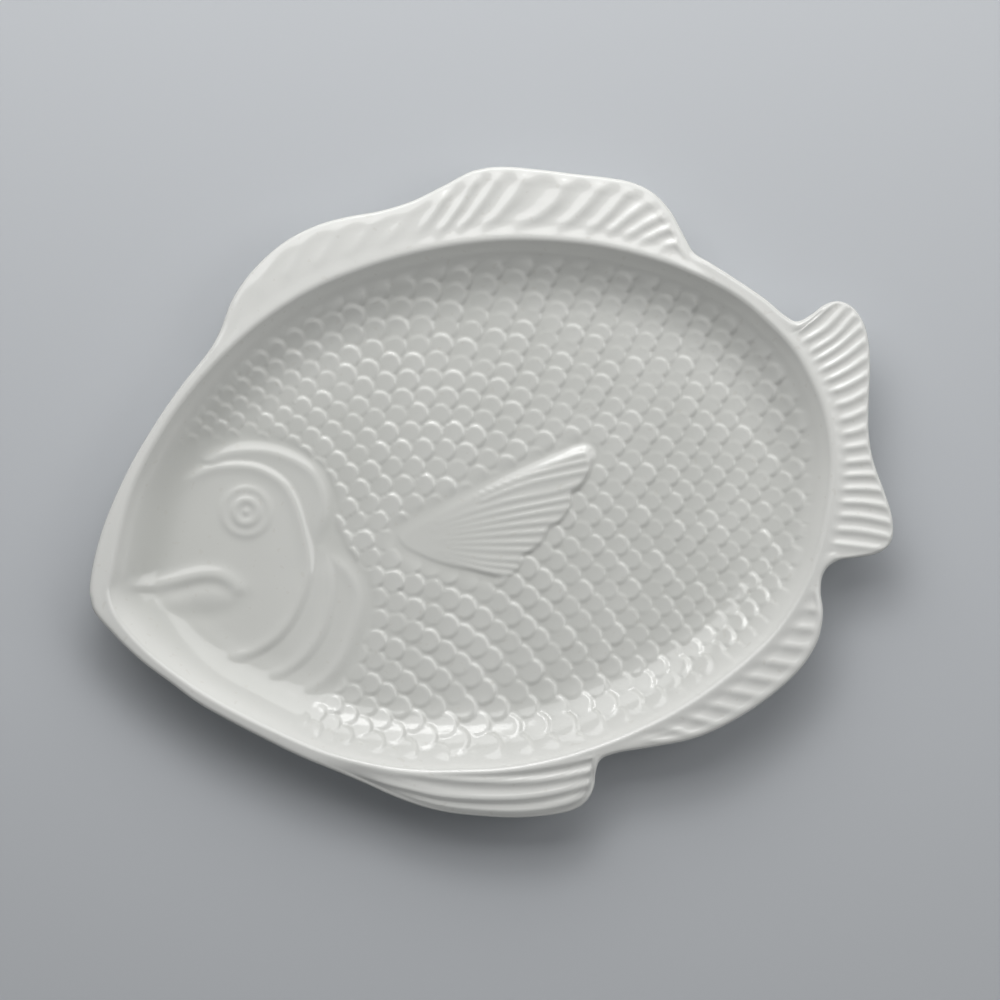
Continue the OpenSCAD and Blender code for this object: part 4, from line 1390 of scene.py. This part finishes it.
@dataclass(frozen=True)
class CeramicFinish:
    """One finish of the porcelain, with the values that its material gives the shared group.

    Sizes and depths are in millimetres. A finish with painted shade is darker in the recesses and low in the
    well.
    """

    name: str
    body_color: Color
    # The second colour: painted shade on a finish that paints shade, else a cloudy tone of the clay
    shade_and_cloud_color: Color
    speck_color: Color
    roughness: float
    roughness_spread: float
    speck_share: float
    cloud_size: float
    speck_size: float
    ripple_size: float
    grain_size: float
    grain_share: float
    bump_depth: float
    coat: float
    # Whether the second colour is painted shade, laid in the recesses and low in the well
    paints_shade: bool
    even_cloud_share: float = 0.5
    recess_depth: float = 1.1
    recess_shade_share: float = 0.4
    unshaded_height: float = 26.0
    full_shade_height: float = 11.0
    refraction: float = 1.5
    coat_roughness: float = 0.04

    def shade_and_cloud_share(self, wires: TreeMaker) -> Socket:
        """Works out the share of the second colour: painted shade for the glaze, an even cloudy tone
        otherwise.

        Args:
            wires: the maker of the material's tree.

        Returns:
            The share of the second colour.
        """
        if not self.paints_shade:
            return self.even_cloud_share
        # Painted shade: darker where the relief is low, round and between the raised shapes, and towards the
        # well's floor
        relief = wires.node("ShaderNodeAttribute")
        relief.attribute_name = "relief"
        recess = wires.smooth(relief.outputs["Fac"], self.recess_depth * MM, 0.0)
        place = wires.node("ShaderNodeTexCoord").outputs["Object"]
        height = wires.node("ShaderNodeSeparateXYZ", Vector=place).outputs["Z"]
        low = wires.smooth(height, self.unshaded_height * MM, self.full_shade_height * MM)
        deep = wires.math("MULTIPLY_ADD", recess, self.recess_shade_share, 1 - self.recess_shade_share)
        return wires.product(low, deep)

    def material(self, group: bpy.types.NodeTree) -> bpy.types.Material:
        """Builds the material.

        Args:
            group: the shared group of fired clay.

        Returns:
            The material.
        """
        made = bpy.data.materials.new(self.name)
        made.use_nodes = True
        wires = TreeMaker(made.node_tree)
        clay = wires.group(
            group,
            {
                "Body Color": self.body_color,
                "Shade And Cloud Color": self.shade_and_cloud_color,
                "Speck Color": self.speck_color,
                "Shade And Cloud Share": self.shade_and_cloud_share(wires),
                "Cloud Size": self.cloud_size * MM,
                "Speck Size": self.speck_size * MM,
                "Speck Share": self.speck_share,
                "Gloss Roughness": self.roughness,
                "Roughness Spread": self.roughness_spread,
                "Ripple Size": self.ripple_size * MM,
                "Grain Size": self.grain_size * MM,
                "Grain Share": self.grain_share,
            },
        )
        depth = self.bump_depth * MM
        bump = wires.node("ShaderNodeBump", Height=clay["Height"], Strength=1.0, Distance=depth)
        wires.feed_all(
            made.node_tree.nodes["Principled BSDF"].inputs,
            {
                "Base Color": clay["Color"],
                "Roughness": clay["Roughness"],
                "Normal": bump.outputs["Normal"],
                "IOR": self.refraction,
                "Coat Weight": self.coat,
                "Coat Roughness": self.coat_roughness,
            },
        )
        return made


# The glaze's second colour is painted shade, darker in the recesses and low in the well
GLAZE = CeramicFinish(
    name="glazed_porcelain",
    body_color=(0.835, 0.836, 0.803, 1.0),
    shade_and_cloud_color=(0.672, 0.677, 0.640, 1.0),
    speck_color=(0.60, 0.57, 0.50, 1.0),
    roughness=0.13,
    roughness_spread=0.05,
    speck_share=0.15,
    cloud_size=60.0,
    speck_size=3.0,
    ripple_size=14.0,
    grain_size=1.6,
    grain_share=0.02,
    bump_depth=0.12,
    coat=0.35,
    paints_shade=True,
)
BARE = CeramicFinish(
    name="bare_porcelain",
    body_color=(0.78, 0.76, 0.72, 1.0),
    shade_and_cloud_color=(0.72, 0.69, 0.64, 1.0),
    speck_color=(0.45, 0.40, 0.34, 1.0),
    roughness=0.72,
    roughness_spread=0.12,
    speck_share=0.5,
    cloud_size=25.0,
    speck_size=1.4,
    ripple_size=3.0,
    grain_size=0.4,
    grain_share=0.8,
    bump_depth=0.06,
    coat=0.0,
    paints_shade=False,
)


@dataclass
class Casting:
    """The glazed casting: well, rim, fins, underside and foot ring in one closed mesh.

    Steps of the edge give how far in from the outline and how far down the edge each of its rings lies, as
    shares of the edge's reach and thickness. Place_blend and fall_past count listed points of the outline.
    """

    shape: PlatterShape
    grid: float = 1.06
    grid_margin: float = 0.6
    wall_rings: tuple[float, ...] = (8.0, 6.6, 5.2, 3.9, 2.6, 1.4, 0.5)
    relief_start: float = 1.0
    relief_full: float = 8.0
    rim_rings: int = 21
    ring_power: float = 1.25
    rim_stop: float = 0.35
    hump_dish: float = 0.35
    belly_dish: float = 0.2
    dish_start: float = 1.5
    dish_full: float = 8.5
    dish_from_lip: tuple[float, float] = (0.3, 1.3)
    back_fall: float = 1.2
    belly_fall: float = 3.0
    fall_power: float = 1.5
    fall_past: float = 0.5
    bead_drop: float = 0.9
    tail_lip: float = 0.35
    place_blend: float = 2.0
    edge_steps: Rows = ((0.2, 0.16), (0.07, 0.3), (0.0, 0.5), (0.07, 0.72), (0.25, 0.88), (0.6, 1.0))
    under_share: float = 0.6
    under_drop: float = 0.1
    root_share: float = 0.45
    cove_shares: tuple[float, ...] = (0.0, 0.1, 0.2, 0.3, 0.42, 0.54)
    hollow_shares: tuple[float, ...] = (0.6, 0.25)
    merge_distance: float = 1e-5
    tree: ReliefTree = ReliefTree()
    name: str = "platter_casting"

    def __post_init__(self) -> None:
        """Sets the ribs of each fin on its part of the outline: hump, back, tail, vent and belly."""
        parts = (
            BROW_SHARES, FRONT_HUMP_SHARES, BACK_FIN_SHARES, BACK_RIM_SHARES, TAIL_FIN_SHARES,
            VENT_FIN_SHARES, BELLY_FIN_SHARES,
        )
        hump, back, rim, tail, vent, belly, end = itertools.accumulate(map(len, parts))
        self.ribs = (
            RibField(FRONT_HUMP_RIBS, hump + 1, back - 0.5, height=0.5),
            RibField(BACK_FIN_RIBS, back - 1.3, rim - 0.2, height=1.7),
            RibField(
                TAIL_RIBS, tail - 0.1, vent - 0.5, height=1.2, from_well=3.5, from_edge=0.4,
                soft_first=2.2, soft_well=7.0, soft_edge=1.4,
            ),
            RibField(VENT_RIBS, vent + 0.5, belly - 1, height=1.2, from_edge=1.5, soft_well=8.0),
            RibField(
                BELLY_FLUTES, belly + 0.4, end - 0.2, height=1.6, from_well=1.0, from_edge=1.0,
                soft_last=6.0, soft_well=5.0,
            ),
        )

    def rim_top(self) -> RimRings:
        """Draws the rings of the rim's top, from its inner edge to where the edge rounds down.

        Returns:
            For each ring its points, and how far outside the inner edge and inside the outline each lies.
        """
        sizes, shape = self.shape.sizes, self.shape
        hump, _, tail, _, belly = self.ribs
        loop = np.vstack([shape.outline, shape.outline[:1]])
        blend = self.place_blend
        on_tail = [tail.first, tail.first + blend, tail.last - blend, tail.last]
        lip = sizes.lip * np.interp(shape.places, on_tail, [1, self.tail_lip, self.tail_lip, 1])
        dishes = (
            (hump.first - blend, 1), (hump.first, self.hump_dish),
            (hump.last - blend / 2, self.hump_dish), (hump.last + blend / 2, 1),
            (belly.first - blend / 2, 1), (belly.first + blend / 2, self.belly_dish),
            (belly.last, self.belly_dish),
        )
        dish_depth = sizes.fin_dish * np.interp(shape.places, *zip(*dishes), period=len(OUTLINE_SHARES))
        fall = self.fall()
        rings = []
        for share in np.linspace(0, 1, self.rim_rings) ** self.ring_power:
            outside = share * (shape.rim_width - self.rim_stop * shape.edge_reach)
            plan = shape.outer_ring(outside)
            inside = curve_distance(plan, loop)[0]
            crown = sizes.crown * np.clip(1 - outside / sizes.shoulder, 0, 1) ** 2
            bead = self.bead_drop * np.clip(1 - inside / lip, 0, 1) ** 2
            dish = dish_depth * smooth_step(outside, self.dish_start, self.dish_full)
            dish *= smooth_step(inside / lip, *self.dish_from_lip)
            height = sizes.height - crown - bead - dish - fall * share ** self.fall_power
            rings.append((ring_points(plan, height), outside, inside))
        return rings

    def fall(self) -> np.ndarray:
        """Works out how far the outline lies under the rim's top: more than 0 on the back and belly fins.

        Returns:
            The fall at each sample of the outline.
        """
        places, blend = self.shape.places, self.place_blend
        hump, back, _, _, belly = self.ribs
        fall = np.zeros(len(places))
        for first, last, most in (
            (hump.first - blend, back.last + self.fall_past, self.back_fall),
            (belly.first, belly.last, self.belly_fall),
        ):
            begun = smooth_step(places, first, first + blend)
            fall += most * begun * smooth_step(-places, -last, -last + blend)
        return fall

    def edge_rings(self) -> list[np.ndarray]:
        """Draws the rings that round the rim's edge.

        Returns:
            The points of each ring, from the edge's top to its underside.
        """
        sizes, shape, fall = self.shape.sizes, self.shape, self.fall()
        rings = []
        for share_in, share_down in self.edge_steps:
            plan = shape.outer_ring(shape.rim_width - share_in * shape.edge_reach)
            rings.append(ring_points(plan, sizes.height - fall - share_down * (sizes.edge - fall / 2)))
        return rings

    def under_rings(self) -> list[np.ndarray]:
        """Draws the rings of the underside: the fins, the wall and the foot ring.

        Returns:
            The points of each ring, from the fins' edge to the hollow inside the foot ring.
        """
        sizes, shape, w = self.shape.sizes, self.shape, self.shape.rim_width
        fin_z = sizes.height - sizes.edge
        rings = []
        for share in self.cove_shares:
            inside = share * sizes.cove
            slope = shape.well_slope(inside)
            lean = math.hypot(1, slope)
            out = sizes.wall * slope / lean - inside
            under = float(shape.well_height(inside)) - sizes.wall / lean
            root = np.minimum(out, self.root_share * w)
            if not rings:
                middle = root + self.under_share * (w - self.edge_steps[-1][0] * shape.edge_reach - root)
                droop = self.fall() / 2 * (middle / w) ** self.fall_power
                rings.append(ring_points(shape.outer_ring(middle), fin_z - droop))
                under = min(under, fin_z - self.under_drop)
            plan = shape.outer_ring(root) if out > 0 else shape.inner_ring(-out)
            rings.append(ring_points(plan, under))
        side, start, end = sizes.foot_height / 4, sizes.foot_inset, sizes.foot_end
        low, high = sizes.bare_height, sizes.foot_height
        for inside, z in (
            (start - side, high), (start - side / 3, high / 2), (start, low),
            (end, low), (end + side / 3, high / 2), (end + side, high),
        ):
            rings.append(ring_points(shape.inner_ring(inside), z))
        return rings

    def well_grid(self) -> np.ndarray:
        """Lays an even grid of triangles over the well, inside the innermost ring of the wall.

        Returns:
            The places of its points.
        """
        sizes = self.shape.sizes
        half = np.array([sizes.well_length, sizes.well_width]) / 2
        step_y = self.grid * math.sqrt(3) / 2
        columns, rows = (2 * half / (self.grid, step_y)).astype(int)
        x, y = np.meshgrid(np.arange(columns + 1) * self.grid, np.arange(rows + 1) * step_y)
        x[1::2] += self.grid / 2
        points = sizes.well_centre - half + np.column_stack([x.ravel(), y.ravel()])
        return points[self.shape.inside_by(points) > self.wall_rings[0] + self.grid_margin * self.grid]

    def draw(self) -> tuple[MeshDraft, dict[str, np.ndarray]]:
        """Draws the smooth casting and works out the fields of its relief.

        Returns:
            The mesh draft, and each field's values at its points.
        """
        shape, sizes = self.shape, self.shape.sizes
        draft = MeshDraft()
        first = shape.inner_ring(self.wall_rings[0])
        plan = np.vstack([first, self.well_grid()])
        loop = [(k, (k + 1) % len(first)) for k in range(len(first))]
        spots = [Vector(spot) for spot in plan.tolist()]
        flat, _, faces, _, _, _ = delaunay_2d_cdt(spots, loop, [], FACES_INSIDE, self.merge_distance)
        if len(flat) != len(plan):
            raise RuntimeError("the grid of the well lost or gained points")
        ring = draft.add(ring_points(plan, shape.well_height(shape.inside_by(plan))))[: len(first)]
        draft.faces.extend(tuple(face) for face in faces)
        for inside in self.wall_rings[1:]:
            ring = draft.grow(ring, ring_points(shape.inner_ring(inside), shape.well_height(inside)))
        well_points = draft.count
        rim = self.rim_top()
        halved = [under[::2] for under in self.under_rings()]
        for points in [top for top, _, _ in rim] + self.edge_rings() + halved:
            ring = draft.grow(ring, points)
        middle = np.append(sizes.well_centre, sizes.foot_height)
        for share in self.hollow_shares:
            ring = draft.grow(ring, middle + (np.vstack(draft.points)[ring] - middle) * share)
        draft.fan(ring, middle)
        return draft, self.fields(np.vstack(draft.points), well_points, rim)

    def fields(self, points: np.ndarray, well_points: int, rim: RimRings) -> dict[str, np.ndarray]:
        """Works out the fields of the relief.

        Args:
            points: all points of the mesh.
            well_points: how many of the first points belong to the well and its wall.
            rim: the rings of the rim's top, which come after them.

        Returns:
            Each field's values at all points.
        """
        plan = points[:well_points, :2]
        count = len(points)
        fields = {
            name: np.concatenate([values, np.zeros((count - well_points,) + values.shape[1:])])
            for name, values in ScaleLattice(self.shape).fields(plan).items()
        }
        head = HeadRelief(self.shape).heights(plan)
        fin, rays = SideFinRelief().heights(plan)
        for name in ("plate_rise", "rib_rise", "rib_sink", "well_share"):
            fields[name] = np.zeros(count)
        fields["plate_rise"][:well_points] = np.maximum(head, fin) * MM
        fields["rib_rise"][:well_points] = rays * MM
        inside = self.shape.inside_by(plan)
        fields["well_share"][:well_points] = smooth_step(inside, self.relief_start, self.relief_full)
        start = well_points
        for ring, outside, inside in rim:
            here = slice(start, start + len(ring))
            start += len(ring)
            held = sum(group.heights(self.shape.places, outside, inside) for group in self.ribs)
            fields["rib_rise"][here] = held * MM
            fields["rib_sink"][here] = np.maximum(held - (self.shape.sizes.height - ring[:, 2]), 0) * MM
        return fields

    def crests(self) -> list[bpy.types.Object]:
        """Draws the crest lines of all fins.

        Returns:
            Two objects: every second line of each fin in one, the rest in the other.
        """
        groups = [group.lines for group in self.ribs] + [SIDE_RAYS]
        return [
            crest_object(name, [line for lines in groups for line in lines[start::2]])
            for start, name in enumerate(("even_crests", "odd_crests"))
        ]

    def build(self, glaze: bpy.types.Material) -> bpy.types.Object:
        """Builds the casting as a plain mesh.

        Args:
            glaze: the glaze's material, which the relief tree sets.

        Returns:
            The casting's object.
        """
        draft, fields = self.draw()
        smooth = draft.object("casting_without_relief")
        for name, values in fields.items():
            kind, key = (VECTOR, "vector") if values.ndim == 2 else ("FLOAT", "value")
            layer = smooth.data.attributes.new(name, kind, "POINT")
            layer.data.foreach_set(key, values.astype(np.float32).ravel())
        even, odd = self.crests()
        modifier = smooth.modifiers.new("relief", "NODES")
        modifier.node_group = self.tree.build()
        given = {"Glaze": glaze, "Even Crests": even, "Odd Crests": odd}
        for item in modifier.node_group.interface.items_tree:
            if item.item_type == "SOCKET" and item.in_out == "INPUT" and item.name in given:
                modifier[item.identifier] = given[item.name]
        depsgraph = bpy.context.evaluated_depsgraph_get()
        mesh = bpy.data.meshes.new_from_object(smooth.evaluated_get(depsgraph))
        smooth.modifiers.remove(modifier)
        for scratch in (smooth, even, odd):
            bpy.data.objects.remove(scratch)
        mesh.name = self.name
        for name in fields:
            if name in mesh.attributes:
                mesh.attributes.remove(mesh.attributes[name])
        return linked_object(self.name, mesh)

    def dress(self, casting: bpy.types.Object) -> None:
        """Ties the casting, which the relief tree has glazed, to the frame.

        Args:
            casting: the casting's object.
        """
        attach(casting, BODY)
        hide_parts(Node.CASTING.value)


@dataclass
class FootBand:
    """The unglazed band ground flat at the bottom of the foot ring."""

    shape: PlatterShape
    chamfer: float = 0.25
    name: str = "foot_band"

    def build(self) -> bpy.types.Object:
        """Builds the band as a closed ring.

        Returns:
            The band's object.
        """
        sizes = self.shape.sizes
        start, end, top = sizes.foot_inset, sizes.foot_end, sizes.bare_height
        corners = (
            (start, top), (start, self.chamfer), (start + self.chamfer, 0.0),
            (end - self.chamfer, 0.0), (end, self.chamfer), (end, top),
        )
        draft = MeshDraft()
        rings = [draft.add(ring_points(self.shape.inner_ring(inside), z)[::2]) for inside, z in corners]
        for ring, following in zip(rings, rings[1:] + rings[:1]):
            draft.bridge(ring, following)
        band = draft.object(self.name)
        band.data.shade_flat()
        return band

    def dress(self, band: bpy.types.Object, bare: bpy.types.Material) -> None:
        """Gives the band its finish and ties it to the frame.

        Args:
            band: the band's object.
            bare: the material of the bare porcelain.
        """
        band.data.materials.append(bare)
        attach(band, BODY)
        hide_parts(Node.FOOT.value)


@dataclass(frozen=True)
class Lamp:
    """A soft lamp, in metres and watts. Up and right are directions in the picture."""

    name: str
    up: float
    right: float
    height: float
    size: tuple[float, float]
    power: float

    def hang(self, up: Vector, right: Vector) -> None:
        """Hangs the lamp, pointing at the middle of the platter.

        Args:
            up: the direction of the picture's top.
            right: the direction of its right side.
        """
        light = bpy.data.lights.new(self.name, "AREA")
        light.shape = "RECTANGLE"
        light.size, light.size_y = self.size
        light.energy = self.power
        lamp = linked_object(self.name, light)
        place = up * self.up + right * self.right + Vector((0, 0, self.height))
        lamp.location = place
        lamp.rotation_euler = (-place).to_track_quat("-Z", "Y").to_euler()


@dataclass
class Studio:
    """Floor, lamps, world and camera. The view is in millimetres and degrees, the floor in metres."""

    view_turn: float = 11.3
    view_width: float = 466.7
    view_middle: tuple[float, float] = (6.6, -2.3)
    view_height: float = 2400.0
    floor_size: float = 6.0
    floor_color: Color = (0.60, 0.62, 0.645, 1.0)
    floor_roughness: float = 0.9
    world_color: Color = (0.96, 0.98, 1.0, 1.0)
    world_level: float = 0.165
    lamps: tuple[Lamp, ...] = (
        Lamp("key_lamp", up=0.85, right=-0.08, height=0.78, size=(1.55, 1.05), power=10.1),
        Lamp("core_lamp", up=0.8, right=-0.06, height=0.73, size=(0.53, 0.23), power=1.8),
        Lamp("fill_lamp", up=0.3, right=1.2, height=1.2, size=(0.9, 0.9), power=4.0),
    )

    def floor(self) -> None:
        """Lays the plain floor."""
        mesh = bpy.data.meshes.new("studio_floor")
        r = self.floor_size / 2
        mesh.from_pydata([(-r, -r, 0), (r, -r, 0), (r, r, 0), (-r, r, 0)], [], [(0, 1, 2, 3)])
        paint = bpy.data.materials.new("studio_paint")
        paint.use_nodes = True
        shader = paint.node_tree.nodes["Principled BSDF"].inputs
        shader["Base Color"].default_value = self.floor_color
        shader["Roughness"].default_value = self.floor_roughness
        mesh.materials.append(paint)
        linked_object("studio_floor", mesh)

    def light(self) -> None:
        """Hangs the lamps: the key and its bright core beyond the back fin, and a weak fill on the right."""
        turn = math.radians(self.view_turn)
        up = Vector((math.sin(turn), math.cos(turn), 0))
        for lamp in self.lamps:
            lamp.hang(up, Vector((up.y, -up.x, 0)))
        world = bpy.data.worlds.new("studio_world")
        world.use_nodes = True
        back = world.node_tree.nodes["Background"].inputs
        back["Color"].default_value = self.world_color
        back["Strength"].default_value = self.world_level
        bpy.context.scene.world = world

    def camera(self) -> None:
        """Sets the camera straight over the platter."""
        data = bpy.data.cameras.new("studio_camera")
        data.angle = 2 * math.atan(self.view_width / 2 / self.view_height)
        data.dof.use_dof = False
        camera = linked_object("studio_camera", data)
        x, y = self.view_middle
        camera.location = (x * MM, y * MM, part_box(Node.CASTING.value)[1].z + self.view_height * MM)
        camera.rotation_euler = (0, 0, -math.radians(self.view_turn))
        bpy.context.scene.camera = camera
        bpy.context.scene.view_settings.view_transform = "Standard"

    def build(self) -> None:
        """Sets up the whole studio."""
        self.floor()
        self.light()
        self.camera()


def main() -> None:
    """Builds and dresses the platter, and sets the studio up."""
    logging.basicConfig(level=logging.INFO, format="%(name)s: %(message)s")
    shape = PlatterShape(PlatterSizes())
    clay = clay_group()
    casting_maker = Casting(shape)
    casting = casting_maker.build(GLAZE.material(clay))
    casting_maker.dress(casting)
    band_maker = FootBand(shape)
    band = band_maker.build()
    band_maker.dress(band, BARE.material(clay))
    for piece in (casting, band):
        LOG.info("%s: %d points, %d faces", piece.name, len(piece.data.vertices), len(piece.data.polygons))
    Studio().build()


if __name__ == "__main__":
    main()
